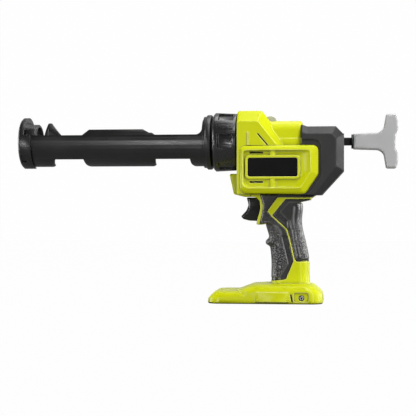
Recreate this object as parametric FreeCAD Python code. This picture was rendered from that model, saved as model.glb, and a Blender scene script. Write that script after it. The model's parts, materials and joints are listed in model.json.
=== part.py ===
import FreeCAD, Part
import math
import os

from FreeCAD import Vector

# Millimetres. X runs from the nose to the tail, Y across, Z up from the underside of the foot.
# Fits and overruns
FIT = 0.05
RUNNING_FIT = 0.05
LOOSE = 0.3
EASY = 0.6
OVERRUN = 5.0
FAR = 400.0

# Push axis and the bay for a standard cartridge
AXIS_Z = 187.4
CARTRIDGE_LENGTH = 216.0
CARTRIDGE_RADIUS = 25.0
BAY_CLEARANCE = 1.5
BODY_FRONT_X = -32.2
COLLAR_LENGTH = 28.8
COLLAR_RADIUS_FRONT = 34.5
COLLAR_RADIUS_REAR = 33.3
COLLAR_EDGE = 2.0
COLLAR_PADS = 6
COLLAR_PAD_TURN = 90
COLLAR_PAD_LENGTH = 17.0
COLLAR_PAD_WIDTH = 16.0
COLLAR_PAD_DEPTH = 1.1
COLLAR_PAD_RAMP = 1.6
FLANGE_GAP = 2.2
FLANGE_THICK = 6.5
FLANGE_RADIUS = 32.2
FLANGE_EDGE = 1.2
FLANGE_STEP_RADIUS = 30.2
FLANGE_STEP_LENGTH = 3.0
SEAT_DEPTH = 3.0
SHELL_CLEARANCE = 0.6
SHELL_WALL = 3.0

COLLAR_REAR_X = BODY_FRONT_X - LOOSE
COLLAR_FRONT_X = COLLAR_REAR_X - COLLAR_LENGTH
FLANGE_REAR_X = COLLAR_FRONT_X - FLANGE_GAP
FLANGE_FRONT_X = FLANGE_REAR_X - FLANGE_THICK
SEAT_X = FLANGE_FRONT_X + SEAT_DEPTH
CAP_INNER_X = SEAT_X - CARTRIDGE_LENGTH - BAY_CLEARANCE
SHELL_INNER = CARTRIDGE_RADIUS + SHELL_CLEARANCE
SHELL_OUTER = SHELL_INNER + SHELL_WALL
TROUGH_LENGTH = FLANGE_FRONT_X - CAP_INNER_X

# Carriage trough, heights above and below the push axis
STRIP_TOP = 8.0
STRIP_BOTTOM = -20.0
WING_TOP = 14.6
WING_BOTTOM = -28.0
WING_REAR_SHARE = 0.275058
WING_LENGTH_SHARE = 0.400932
WING_RAMP = 8.0
WING_STEP_RISE = 2.4
WING_STEP_RUN = 3.2
WING_CORNER = 5.0
WING_CORNER_RUN = 2.4
REAR_TOP = 26.0
REAR_TOP_LENGTH = 4.0
REAR_TOP_CORNER = 7.0
REAR_BOTTOM = -28.2
REAR_BOTTOM_LENGTH = 17.0
REAR_BOTTOM_CORNER = 5.0
FIN_TOP = 22.8
FIN_START_SHARE = 0.127273
FIN_LENGTH = 3.2
FIN_RAMP = 14.0
FIN_CORNER = 1.5
FIN_FRONT_RUN = 2.6
FIN_POCKET_TOP = 15.6
FIN_POCKET_RIM = 1.6
FIN_POCKET_DEPTH = 1.2
CHIN_BOTTOM = -28.2
CHIN_LENGTH_SHARE = 0.144522
CHIN_CORNER = 4.0

# Hub, nose sleeve, seal and snap ring
HUB_OUTER = 26.0
HUB_INNER = 23.8
SLEEVE_OUTER = 29.4
SLEEVE_FRONT_GAP = 1.2
SLEEVE_FLANGE_RADIUS = 31.5
SLEEVE_FLANGE_THICK = 3.0
BODY_WALL = 3.5
SNAP_THICK = 1.6
SNAP_RADIUS = 28.4
SNAP_GROOVE = 1.0
SNAP_GAP = 16.0
HUB_TAIL = 1.6
NOSE_POCKET_RADIUS = 32.2
SEAL_SECTION = 0.95
SEAL_RADIUS = 27.4

# Front cap
CAP_RADIUS = 30.4
CAP_THICK = 7.0
CAP_EDGE = 1.6
CAP_SKIRT_LENGTH = 8.0
CAP_ARCH_LENGTH = 13.0
CAP_ARCH_TOP = 24.0
CAP_ARCH_CORNER = 11.0
CAP_SLIT = 1.6
CAP_SLIT_HEIGHT = 7.0
NOZZLE_RADIUS = 11.0
CAP_RIB_HEIGHT = 1.2
CAP_RIB_INNER = 15.0
CAP_RIB_OUTER = 17.0
CAP_NOTCH_LOW = -23.5
CAP_NOTCH_HIGH = -15.5
CAP_NOTCH_FRONT = 3.0
CAP_NOTCH_LENGTH = 5.5
CAP_NOTCH_DEPTH = 1.3

# Push rod and its rack
ROD_HALF_WIDTH = 4.0
ROD_HALF_HEIGHT = 4.5
ROD_EDGE = 0.8
RACK_MODULE = 1.25
PRESSURE_ANGLE = 25.0
RACK_BACKLASH = 0.16
ROD_FRONT_MARGIN = 1.5
ROD_FORWARD_TRAVEL = 1.0
PLUNGER_PLAY = 1.4
PLUNGER_RADIUS = HUB_INNER - PLUNGER_PLAY
PLUNGER_THICK = 10.0
PLUNGER_RIM = 3.0
PLUNGER_DISH = 5.0
PLUNGER_HUB = 9.0
PLUNGER_EDGE = 1.0
PLUNGER_SCREW_RADIUS = 2.0
PLUNGER_SCREW_HEAD = 4.5
PLUNGER_SCREW_HEAD_HEIGHT = 3.0
PLUNGER_SCREW_LENGTH = 22.0
PLUNGER_SCREW_SOCKET = 1.6
ROD_TEETH_START = 12.0
ROD_TEETH_END_X = 88.0
ROD_TAIL = 14.0

# Gears, all on axes across the tool
PINION_X = 60.0
PINION_TEETH = 14
PINION_HALF_FACE = 5.5
FIRST_MODULE = 0.8
FIRST_DRIVER_TEETH = 12
FIRST_WHEEL_TEETH = 48
SECOND_MODULE = 1.0
SECOND_DRIVER_TEETH = 12
SECOND_WHEEL_TEETH = 36
CLUTCH_MODULE = 1.25
CLUTCH_DRIVER_TEETH = 12
CLUTCH_WHEEL_TEETH = 30
GEAR_BACKLASH = 0.16
TIP_CLEARANCE_SHARE = 0.25
MOTOR_X = -3.5
MOTOR_Z = 154.4
FIRST_GEAR_ANGLE = 10.0
CLUTCH_DISC_Y = 6.2
CLUTCH_DISC_THICK = 2.3
CLUTCH_DISC_RADIUS = 14.0
CLUTCH_LUGS = 6
CLUTCH_LUG_RADIUS = 1.4
CLUTCH_LUG_CIRCLE = 10.5
CLUTCH_GEAR_Y = 9.2
CLUTCH_GEAR_FACE = 7.8
SECOND_GEAR_Y = 18.4
SECOND_GEAR_FACE = 5.0
FIRST_GEAR_Y = 24.4
FIRST_GEAR_FACE = 4.0
WEB_SHARE = 0.35
RIM_MODULES = 3.0
PINION_SHAFT_RADIUS = 4.0
GEAR_SHAFT_RADIUS = 2.5
BEARING_RADIUS = 7.0
BEARING_LENGTH = 5.0
BEARING_BOSS = 9.0
SHAFT_BOSS = 5.0
SIDE_PLAY = 0.3

# Motor unit
MOTOR_RADIUS = 18.0
MOTOR_CAN_LENGTH = 33.0
MOTOR_EDGE = 1.5
END_BELL_LENGTH = 6.0
END_BELL_RADIUS = 16.5
HEAD_RADIUS = 16.0
HEAD_LENGTH = 13.0
HEAD_BOSS_RADIUS = 6.0
MOTOR_SHAFT_RADIUS = 2.4
HEAD_SHAFT_DEPTH = 8.0
MOTOR_CUP_WALL = 2.5
MOTOR_CUP_LENGTH = 24.0

# Backing roller over the rod
ROLLER_RADIUS = 3.2
ROLLER_HALF_FACE = 5.0
ROLLER_PIN_RADIUS = 1.5
ROLLER_GAP = 0.1
ROLLER_SETBACK = 15.5

# Housing, front block and deck
HUMP_RISE = 34.8
HUMP_TOP_Z = AXIS_Z + HUMP_RISE
HUMP_REAR_X = -4.0
HUMP_FOOT_X = 26.5
HUMP_EDGE = 3.0
DECK_BASE_Z = 181.9
BODY_BASE_Z = 126.0
HUMP_CORE_Y = 26.0
HUMP_SIDE_Y = 36.0
HUMP_SIDE_TOP_Z = 209.4
HUMP_SIDE_REAR_X = -8.0
HUMP_SIDE_FOOT_X = 14.0
DECK_FRONT_X = -8.0
DECK_REAR_X = 42.4
DECK_TOP_Z = 210.6
DECK_Y = 29.0
DECK_CORNER = 12.0
DECK_LEDGE_Z = 190.4
DECK_LEDGE_HEIGHT = 0.8
DECK_LEDGE_FRONT_X = 14.0
SLIT_WIDTH = 2.0
SLIT_DEPTH = 4.5
SLIT_TOP_X = -9.3
SLIT_TOP_Z = 195.4
SLIT_FOOT_X = 2.1
SIDE_RIB_X = -20.6
SIDE_RIB_WIDTH = 2.0
SIDE_RIB_HEIGHT = 0.9
SIDE_RIB_TOP_Z = 197.0
BODY_CHIN_Y = 16.0
BODY_CHIN_EDGE = 2.0
BODY_CHIN_REACH = 10.5
BODY_CHIN_LOW_REACH = 5.3

# Side frame and its plate
FRAME_Y = 40.0
FRAME_FRONT_X = -29.2
FRAME_REAR_X = 61.4
FRAME_LOW_REAR_X = 46.2
FRAME_REAR_LOW_Z = 148.4
FRAME_CORNER = 7.0
FRAME_LOW_CORNER = 9.0
FRAME_BORDER = 5.6
FRAME_FRONT_BORDER = 4.0
FRAME_REAR_BORDER = 9.0
FRAME_LOW_BORDER = 7.0
FRAME_SLOPE = 1.6
FRAME_FRONT_SLOPE = 2.4
FRAME_REAR_SLOPE = 7.0
FRAME_RIB_X = 9.0
FRAME_RIB_RADIUS = 4.7
FRAME_RIB_SINK = 2.3
FRAME_DEPTH = 3.6
FRAME_EDGE = 3.0
BOSS_FRONT_X = -22.4
BOSS_REAR_X = 40.5
BOSS_LOW_Z = 143.0
BOSS_HIGH_Z = 170.4
BOSS_CORNER = 4.5
BOSS_DROP = 1.0
BOSS_EDGE = 0.8
PLATE_MARGIN = 2.9
PLATE_CORNER = 2.6
PLATE_THICK = 1.2
VENT_FRONT_X = -17.4
VENT_LENGTH = 15.5
VENT_HEIGHT = 2.1
VENT_HIGH_Z = 172.3
VENT_LOW_Z = 138.7

# Rear block under the boot
BOOT_THICK = 3.0
BOOT_TOP_Z = 203.6
BOOT_REAR_X = 90.2
BOOT_CORE_Y = 28.0
BOOT_SIDE_Y = 36.0
BOOT_BEVEL = 9.0
BOOT_LIP_X = 42.4
BOOT_LIP_Z = 205.7
BOOT_LIP_RUN = 5.8
BOOT_TOP_CORNER_RUN = 9.4
BOOT_TOP_CORNER_DROP = 9.6
BOOT_LOW_REAR_Z = 153.1
BOOT_LOW_X = 64.5
BOOT_LOW_Z = 125.0
BOOT_FRONT_X = 42.0
CHANNEL_WIDTH = 3.0
CHANNEL_RISE = 6.4
CHANNEL_DEPTH = 2.0

# Cavity for motor and gears
CAVITY_FRONT_X = BODY_FRONT_X + BODY_WALL
CAVITY_LOW_Z = 129.9
CAVITY_REAR_X = 84.5
CAVITY_Y = 30.4
CAVITY_SHOULDER_Z = 180.4
CAVITY_REAR_SHOULDER_Z = 187.4
CAVITY_TOP_Z = 199.0
CAVITY_TOP_Y = 24.0
CAVITY_LOW_REAR_X = 60.0
CAVITY_LOW_REAR_Z = 156.4
CAVITY_STEP_X = 44.0
GUIDE_RADIUS = 9.5
GUIDE_FLANGE = 11.5
GUIDE_FLANGE_THICK = 1.5
GUIDE_FRONT_X = -21.0
GUIDE_FRONT_LENGTH = 7.0
GUIDE_FRONT_DROP = 10.0

# Neck and handle
NECK_Y = 18.0
NECK_EDGE = 1.6
NECK_OUTLINE = [
    (-18.0, 129.4, 0), (-16.8, 123.0, 0), (-7.0, 123.0, 8.5), (-6.4, 109.0, 16.0), (-11.4, 90.6, 1.8),
    (-3.6, 90.6, 3.0), (1.5, 92.4, 4.0), (9.5, 91.0, 5.0), (15.6, 84.6, 6.0), (17.6, 77.0, 2.0),
    (26.0, 77.0, 0), (26.0, 106.0, 0), (36.0, 114.6, 2.0), (41.0, 117.0, 0), (51.6, 119.3, 0),
    (52.2, 121.2, 0), (57.6, 124.6, 0), (57.6, 129.4, 0),
]
HANDLE_SECTIONS = [
    (12.0, 2.2, 53.0, 21.0, 14.0), (25.0, 5.4, 50.5, 18.4, 13.0), (40.0, 5.8, 50.0, 17.8, 13.0),
    (55.0, 5.3, 49.2, 17.6, 13.0), (66.0, 4.2, 47.0, 17.6, 13.0), (76.0, 3.3, 44.6, 17.75, 13.0),
    (86.0, 0.4, 42.2, 17.85, 13.0), (98.0, -2.0, 41.3, 17.9, 13.0), (116.0, -3.0, 41.6, 17.9, 13.0),
]
RIDGE_SECTIONS = [
    (61.6, 5.6, 30.0, 16.4, 13.0), (66.6, 1.4, 30.0, 16.4, 13.0), (68.8, -1.0, 30.0, 16.4, 13.0),
    (71.4, -1.0, 30.0, 16.4, 13.0), (73.8, 1.0, 30.0, 16.4, 13.0), (77.8, 3.6, 30.0, 16.4, 13.0),
]
GRIP_THICK = 2.0
GRIP_STEP = 0.5
FRONT_GRIP_OUTLINE = [
    (-6.6, 125.8, 0), (57.4, 125.8, 0), (57.4, 122.2, 0), (13.6, 122.2, 1.0), (1.9, 106.2, 1.5),
    (6.4, 100.5, 1.0), (23.4, 85.0, 8.0), (26.4, 75.0, 20.0), (32.2, 48.6, 3.0), (23.3, 27.4, 2.5),
    (8.0, 25.6, 0), (-24.0, 25.6, 0), (-24.0, 86.0, 0), (-7.8, 86.0, 0), (-7.4, 92.0, 0),
    (-4.2, 105.0, 14.0), (-3.2, 113.0, 8.0), (-6.3, 124.0, 2.0),
]
REAR_GRIP_OUTLINE = [
    (23.1, 120.5, 1.0), (60.0, 120.5, 0), (60.0, 47.8, 0), (35.6, 47.8, 2.5), (33.4, 51.0, 2.0),
    (27.8, 75.2, 20.0), (24.6, 85.6, 8.0), (7.3, 101.5, 1.0),
]
FRONT_PAD_OUTLINE = [
    (-24.0, 95.0, 0), (4.0, 94.2, 4.0), (14.6, 87.0, 6.0), (18.4, 76.0, 10.0), (25.8, 45.0, 3.0),
    (16.4, 29.8, 3.0), (-24.0, 29.8, 0),
]
REAR_PAD_OUTLINE = [
    (60.0, 116.8, 0), (27.0, 116.8, 1.0), (16.7, 105.3, 1.5), (27.4, 94.8, 6.0), (31.0, 84.0, 8.0),
    (37.0, 51.6, 3.0), (60.0, 51.0, 0),
]

# Foot: height, front, rear, half width, corner
LEDGE_SECTIONS = [
    (0, -66.0, 10.0, 36.6, 14.0), (1.4, -66.8, 10.0, 37.4, 14.6), (6.0, -66.2, 10.0, 37.4, 14.6),
    (9.0, -63.4, 10.0, 37.2, 14.0), (12.6, -60.0, 10.0, 35.0, 13.0), (14.4, -57.0, 10.0, 30.0, 12.0),
]
BASE_SECTIONS = [
    (0, -34.0, 65.4, 36.6, 14.0), (1.4, -34.0, 66.2, 37.4, 14.6), (11.0, -34.0, 65.2, 37.4, 14.6),
    (14.8, -33.0, 62.0, 37.2, 14.0), (19.9, -20.2, 56.0, 34.6, 13.0), (21.4, -16.4, 53.0, 31.0, 12.5),
    (22.3, -6.0, 50.0, 25.4, 12.0),
]
FOOT_FLOOR = 3.0
FOOT_CAVITY_X = 59.0
FOOT_CAVITY_Y = 31.5
FOOT_CAVITY_TOP = 9.5
FOOT_PANEL_FRONT_X = -11.4
FOOT_PANEL_REAR_X = 27.8
FOOT_PANEL_LOW_Z = 2.4
FOOT_PANEL_HIGH_Z = 13.6
FOOT_PANEL_HEIGHT = 1.5
FOOT_PANEL_LOW_BEVEL = 1.6
FOOT_PANEL_HIGH_BEVEL = 5.0
FOOT_SLOT_X = 28.9
FOOT_SLOT_WIDTH = 1.9
FOOT_SLOT_SLANT = 1.6
FOOT_SLOT_LOW_Z = 2.4
FOOT_SLOT_HIGH_Z = 11.1
FOOT_SLOT_DEPTH = 3.4
FOOT_RECESS_FRONT_X = 33.4
FOOT_RECESS_REAR_X = 50.0
FOOT_RECESS_HIGH_Z = 13.2
FOOT_RECESS_CORNER = 2.5
FOOT_RECESS_DEPTH = 1.6
INSERT_X = 41.9
INSERT_Z = 7.0
INSERT_RADIUS = 2.2
INSERT_BORE = 1.25
INSERT_LENGTH = 7.0
RING_RADIUS = 3.3
RING_THICK = 0.8
INSERT_BOSS = 4.5
INSERT_BOSS_INNER_Y = 26.0
LATCH_INNER_Y = 22.0
LATCH_OUTER_Y = 28.0
LATCH_HALF_LENGTH = 9.0

# Battery socket and electrics in the handle
SOCKET_FRONT_X = 12.5
SOCKET_REAR_X = 41.5
SOCKET_Y = 12.0
SOCKET_TOP_Z = 60.4
SOCKET_CORNER = 4.0
BLOCK_HEIGHT = 9.5
CONTACT_THICK = 0.8
CONTACT_WIDTH = 9.0
CONTACT_DROP = 9.0
CONTACT_Y = [-7.0, 0, 7.0]
BOARD_FRONT_X = 15.0
BOARD_REAR_X = 34.0
BOARD_HALF_THICK = 0.8
BOARD_TOP_Z = 91.0
BOARD_PART_HEIGHT = 4.0
BOARD_PARTS = [(18.5, 77.4, 4.6), (27.5, 76.4, 5.2), (23.5, 85.4, 3.4)]
CHANNEL_Y = 7.0
SWITCH_FRONT_X = 3.5
SWITCH_REAR_X = 31.5
SWITCH_LOW_Z = 92.0
SWITCH_HIGH_Z = 119.8
SWITCH_Y = 11.5
SWITCH_EDGE = 1.5
TRIGGER_Y = 8.8
TRIGGER_EDGE = 2.4
TRIGGER_TRAVEL = 6.0
TRIGGER_STEM = 3.0
TRIGGER_STEM_Z = 108.4
TRIGGER_STEM_END_X = 8.0
TRIGGER_OUTLINE = [
    (-21.2, 122.3, 1.2), (-18.8, 114.0, 10.0), (-21.6, 106.4, 10.0), (-28.6, 100.0, 1.6), (-25.8, 97.0, 2.5),
    (-18.6, 95.2, 4.0), (-3.0, 94.4, 1.0), (-3.0, 122.3, 1.0),
]
TRIGGER_SLOT_LOW_Z = 93.8
TRIGGER_SLOT_HIGH_Z = 122.7

# Speed dial
DIAL_X = 4.6
DIAL_Z = 210.4
DIAL_RADIUS = 7.4
DIAL_HALF_WIDTH = 4.5
DIAL_RIDGES = 24
DIAL_RIDGE_RADIUS = 0.55
DIAL_EDGE = 0.5
DIAL_BORE = 2.0
DIAL_POCKET = 8.2
POT_THICK = 4.0
POT_HALF = 4.5
POT_EDGE = 0.8

# T-handle
HANDLE_STEM_X = 100.6
T_OUTLINE = [
    (0, 9.0, 1.0), (34.4, 10.4, 9.5), (38.0, 31.6, 2.5), (49.4, 31.6, 2.5), (51.8, 23.0, 4.0),
    (51.8, 14.0, 3.0), (49.1, 7.8, 4.0),
]
T_HALF_THICK = 7.5
T_EDGE = 2.6
WASHER_THICK = 2.0
WASHER_RADIUS = 8.3
PIN_RADIUS = 1.75
PIN_X = 8.0
PIN_HALF_LENGTH = 5.6

# Screws that join the halves: X, Z, seat of the head
HUMP_SCREW_DROP = 9.8
DECK_SCREW_DROP = 6.0
SCREWS = [
    (-16.0, HUMP_TOP_Z - HUMP_SCREW_DROP, 24.0), (36.0, DECK_TOP_Z - DECK_SCREW_DROP, 18.0),
    (-26.8, 135.4, 30.0), (26.0, 133.4, 30.0), (58.0, 134.9, 27.0),
    (45.2, 36.0, 9.0), (-45.0, 6.0, 24.0), (54.0, 6.0, 24.0),
]
SCREW_RADIUS = 1.5
SCREW_HEAD_RADIUS = 2.9
SCREW_HEAD_HEIGHT = 2.2
SCREW_LENGTH = 20.0
SCREW_DRIVE_RADIUS = 1.3
SCREW_DRIVE_DEPTH = 1.2
SCREW_BOSS = 4.6

# Places that follow from the values above
PITCH_LINE_Z = AXIS_Z - ROD_HALF_HEIGHT + RACK_MODULE
PINION_RADIUS = RACK_MODULE * PINION_TEETH / 2
PINION_Z = PITCH_LINE_Z - PINION_RADIUS
SLEEVE_FLANGE_REAR_X = CAVITY_FRONT_X + SLEEVE_FLANGE_THICK
SNAP_FRONT_X = SLEEVE_FLANGE_REAR_X + LOOSE
HUB_REAR_X = SNAP_FRONT_X + SNAP_THICK + HUB_TAIL
PLUNGER_FRONT_X = CAP_INNER_X + ROD_FRONT_MARGIN + ROD_FORWARD_TRAVEL
ROD_FRONT_X = PLUNGER_FRONT_X + PLUNGER_DISH
ROD_REAR_X = HANDLE_STEM_X + ROD_TAIL
PLATE_Y = FRAME_Y - BOSS_DROP
FRAME_FLOOR_Y = FRAME_Y - FRAME_DEPTH
MOTOR_REAR_Y = FIRST_GEAR_Y - SIDE_PLAY - LOOSE
HEAD_Y = MOTOR_REAR_Y - HEAD_LENGTH
CAN_Y = HEAD_Y - MOTOR_CAN_LENGTH
BELL_Y = CAN_Y - END_BELL_LENGTH


def rounded_wire(corners, y):
    """Closed wire in the plane Y = y through (x, z, radius) corners, with tangent arcs."""
    spots = [Vector(x, y, z) for x, z, _ in corners]
    joins = []
    for index, (x, z, radius) in enumerate(corners):
        here = spots[index]
        back = (spots[index - 1] - here).normalize()
        ahead = (spots[(index + 1) % len(spots)] - here).normalize()
        if not radius:
            joins.append((here, None, here))
            continue
        half = back.getAngle(ahead) / 2
        reach = radius / math.tan(half)
        bisector = (back + ahead).normalize()
        middle = here + bisector * (radius / math.sin(half) - radius)
        joins.append((here + back * reach, middle, here + ahead * reach))
    edges = []
    for index, (enter, middle, leave) in enumerate(joins):
        if middle is not None:
            edges.append(Part.Arc(enter, middle, leave).toShape())
        following = joins[(index + 1) % len(joins)][0]
        if leave.distanceToPoint(following) > FIT / OVERRUN:
            edges.append(Part.makeLine(leave, following))
    return Part.Wire(edges)


def prism(corners, y_low, y_high):
    """Outline in X and Z, extruded across the tool."""
    return Part.Face(rounded_wire(corners, y_low)).extrude(Vector(0, y_high - y_low, 0))


def sharp(points):
    return [(x, z, 0) for x, z in points]


def bevelled(core, side, core_y, side_y):
    """Outline core out to core_y, narrowing to the outline side at side_y, on both sides."""
    body = prism(core, -core_y, core_y)
    for sign in (-1, 1):
        ends = [rounded_wire(core, sign * core_y), rounded_wire(side, sign * side_y)]
        body = body.fuse(Part.makeLoft(ends, True, True))
    return body.removeSplitter()


def box(x_low, x_high, y_low, y_high, z_low, z_high):
    return Part.makeBox(x_high - x_low, y_high - y_low, z_high - z_low, Vector(x_low, y_low, z_low))


def rod_y(x, z, radius, y_low, y_high):
    return Part.makeCylinder(radius, y_high - y_low, Vector(x, y_low, z), Vector(0, 1, 0))


def rod_x(radius, x_low, x_high):
    """Cylinder on the push axis."""
    return Part.makeCylinder(radius, x_high - x_low, Vector(x_low, 0, AXIS_Z), Vector(1, 0, 0))


def tube_x(outer, inner, x_low, x_high):
    return rod_x(outer, x_low, x_high).cut(rod_x(inner, x_low - OVERRUN, x_high + OVERRUN))


def turned_x(profile):
    """Profile of (x, radius) points turned about the push axis."""
    spots = [Vector(x, 0, AXIS_Z + radius) for x, radius in profile]
    face = Part.Face(Part.makePolygon(spots + spots[:1]))
    return face.revolve(Vector(0, 0, AXIS_Z), Vector(1, 0, 0), 360)


def section(z, front, rear, half_width, corner):
    """Level rounded rectangle for lofts."""
    flat = rounded_wire(
        [(front, -half_width, corner), (rear, -half_width, corner), (rear, half_width, corner),
         (front, half_width, corner)], 0)
    return flat.rotated(Vector(0, 0, 0), Vector(1, 0, 0), 90).translated(Vector(0, 0, z))


def stack(sections, ruled):
    return Part.makeLoft([section(*one) for one in sections], True, ruled)


def softened(body, radius, wanted):
    """Body with the edges that pass the test rounded."""
    return body.makeFillet(radius, [edge for edge in body.Edges if wanted(edge)])


def at_sides(reach):
    """Test for edges that lie in the planes Y = -reach and Y = reach."""
    def wanted(edge):
        box_of = edge.BoundBox
        return box_of.YLength < FIT and abs(abs(box_of.YMin) - reach) < FIT
    return wanted


def both_sides(shape):
    return shape.fuse(shape.mirror(Vector(0, 0, 0), Vector(0, 1, 0)))


def left_zone():
    """Room of the left half: its side of the joint and the shaft bosses that reach past it."""
    zone = box(-FAR, FAR, -FAR, 0, -FAR, FAR)
    reach = SHAFT_BOSS + FIT
    zone = zone.fuse(rod_y(*FIRST_SPOT, reach, -OVERRUN, SECOND_GEAR_Y - SIDE_PLAY))
    return zone.fuse(rod_y(*SECOND_SPOT, reach, -OVERRUN, CLUTCH_GEAR_Y - SIDE_PLAY))


def involute_spot(base, radius):
    """Polar angle swept by the involute between its base circle and a radius."""
    pressure = math.acos(base / radius)
    return math.tan(pressure) - pressure


def gear(x, z, module, teeth, angle, y_low, face, bore):
    """Spur gear across the tool with a tooth centred on the angle, measured from X towards Z."""
    pitch = module * teeth / 2
    base = pitch * math.cos(math.radians(PRESSURE_ANGLE))
    tip = pitch + module
    root = pitch - module * (1 + TIP_CLEARANCE_SHARE)
    start = max(base, root)
    half = math.pi / (2 * teeth) - GEAR_BACKLASH / (2 * pitch) + involute_spot(base, pitch)
    middle = (start + tip) / 2
    step = 2 * math.pi / teeth

    def spot(radius, turn):
        return Vector(x + radius * math.cos(turn), y_low, z + radius * math.sin(turn))

    edges = []
    for tooth in range(teeth):
        centre = angle + tooth * step
        rise = [(r, centre - half + involute_spot(base, r)) for r in (start, middle, tip)]
        fall = [(r, centre + half - involute_spot(base, r)) for r in (tip, middle, start)]
        foot = spot(root, rise[0][1])
        if start > root:
            edges.append(Part.makeLine(foot, spot(*rise[0])))
        edges.append(Part.Arc(*[spot(*p) for p in rise]).toShape())
        edges.append(Part.Arc(spot(*rise[2]), spot(tip, centre), spot(*fall[0])).toShape())
        edges.append(Part.Arc(*[spot(*p) for p in fall]).toShape())
        if start > root:
            edges.append(Part.makeLine(spot(*fall[2]), spot(root, fall[2][1])))
        following = centre + step - half + involute_spot(base, start)
        middle_turn = (fall[2][1] + following) / 2
        valley = [spot(root, turn) for turn in (fall[2][1], middle_turn, following)]
        edges.append(Part.Arc(*valley).toShape())
    wheel = Part.Face(Part.Wire(Part.__sortEdges__(edges))).extrude(Vector(0, face, 0))
    return wheel.cut(rod_y(x, z, bore, y_low - OVERRUN, y_low + face + OVERRUN))


def webbed(wheel, x, z, outer, inner, y_low, face):
    """Wheel with its web thinned on both faces between hub and rim."""
    depth = face * WEB_SHARE
    for start in (y_low - OVERRUN, y_low + face - depth):
        groove = rod_y(x, z, outer, start, start + depth + OVERRUN)
        if start < y_low:
            groove = rod_y(x, z, outer, start, y_low + depth)
        wheel = wheel.cut(groove.cut(rod_y(x, z, inner, -FAR, FAR)))
    return wheel


def gear_places():
    """Centres of the two compound gears from the centre distances of the train."""
    first_gap = FIRST_MODULE * (FIRST_DRIVER_TEETH + FIRST_WHEEL_TEETH) / 2
    second_gap = SECOND_MODULE * (SECOND_DRIVER_TEETH + SECOND_WHEEL_TEETH) / 2
    last_gap = CLUTCH_MODULE * (CLUTCH_DRIVER_TEETH + CLUTCH_WHEEL_TEETH) / 2
    turn = math.radians(FIRST_GEAR_ANGLE)
    first = (MOTOR_X + first_gap * math.cos(turn), MOTOR_Z + first_gap * math.sin(turn))
    across = PINION_X - first[0]
    rise = PINION_Z - first[1]
    span = math.hypot(across, rise)
    bend = math.acos((second_gap ** 2 + span ** 2 - last_gap ** 2) / (2 * second_gap * span))
    second_turn = math.atan2(rise, across) - bend
    second = (first[0] + second_gap * math.cos(second_turn), first[1] + second_gap * math.sin(second_turn))
    return first, second


FIRST_SPOT, SECOND_SPOT = gear_places()
FIRST_LINE = math.atan2(FIRST_SPOT[1] - MOTOR_Z, FIRST_SPOT[0] - MOTOR_X)
SECOND_LINE = math.atan2(SECOND_SPOT[1] - FIRST_SPOT[1], SECOND_SPOT[0] - FIRST_SPOT[0])
CLUTCH_LINE = math.atan2(PINION_Z - SECOND_SPOT[1], PINION_X - SECOND_SPOT[0])


def gap_towards(line, teeth):
    """Phase that turns a gap between teeth back along the line of centres."""
    return line + math.pi + math.pi / teeth


# Carriage and collar
def fin_front_x():
    return CAP_INNER_X + TROUGH_LENGTH * FIN_START_SHARE


def fin_pocket():
    """Three-cornered pocket in the side of the fin."""
    front = fin_front_x() + FIN_POCKET_RIM
    rear = fin_front_x() + FIN_LENGTH + FIN_RAMP - FIN_POCKET_RIM
    low = AXIS_Z + STRIP_TOP
    corners = prism(sharp([(front, low), (front, AXIS_Z + FIN_POCKET_TOP), (rear, low)]), -FAR, 0)
    return corners.common(tube_x(SHELL_OUTER + OVERRUN, SHELL_OUTER - FIN_POCKET_DEPTH, front, rear))


def trough_outline():
    """Side outline of the trough, rear top round to rear bottom."""
    wing_rear = FLANGE_FRONT_X - TROUGH_LENGTH * WING_REAR_SHARE
    wing_front = wing_rear - TROUGH_LENGTH * WING_LENGTH_SHARE
    fin_front = fin_front_x()
    chin_rear = CAP_INNER_X + TROUGH_LENGTH * CHIN_LENGTH_SHARE
    step_x = wing_rear - WING_STEP_RUN
    heights = [
        (FLANGE_FRONT_X, REAR_TOP, 0),
        (FLANGE_FRONT_X - REAR_TOP_LENGTH, REAR_TOP, FIN_CORNER),
        (FLANGE_FRONT_X - REAR_TOP_LENGTH, STRIP_TOP, REAR_TOP_CORNER),
        (wing_rear, STRIP_TOP, 0),
        (step_x, STRIP_TOP + WING_STEP_RISE, 0),
        (step_x - WING_STEP_RUN, STRIP_TOP + WING_STEP_RISE, 0),
        (step_x - WING_STEP_RUN - WING_RAMP, WING_TOP, FIN_CORNER),
        (wing_front + WING_RAMP, WING_TOP, FIN_CORNER),
        (wing_front, STRIP_TOP, 0),
        (fin_front + FIN_LENGTH + FIN_RAMP, STRIP_TOP, FIN_CORNER),
        (fin_front + FIN_LENGTH, FIN_TOP, FIN_CORNER),
        (fin_front, FIN_TOP, FIN_CORNER),
        (fin_front - FIN_FRONT_RUN, STRIP_TOP, 0),
        (CAP_INNER_X, STRIP_TOP, 0),
        (CAP_INNER_X, CHIN_BOTTOM, 0),
        (chin_rear, CHIN_BOTTOM, CHIN_CORNER),
        (chin_rear + CHIN_CORNER, STRIP_BOTTOM, 0),
        (wing_front, STRIP_BOTTOM, 0),
        (wing_front + WING_CORNER_RUN, WING_BOTTOM, WING_CORNER),
        (wing_rear - FIN_CORNER, WING_BOTTOM, WING_CORNER),
        (wing_rear, STRIP_BOTTOM, 0),
        (FLANGE_FRONT_X - REAR_BOTTOM_LENGTH - FIN_CORNER, STRIP_BOTTOM, 0),
        (FLANGE_FRONT_X - REAR_BOTTOM_LENGTH, REAR_BOTTOM, REAR_BOTTOM_CORNER),
        (FLANGE_FRONT_X, REAR_BOTTOM, 0),
    ]
    return [(x, AXIS_Z + height, radius) for x, height, radius in heights]


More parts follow.
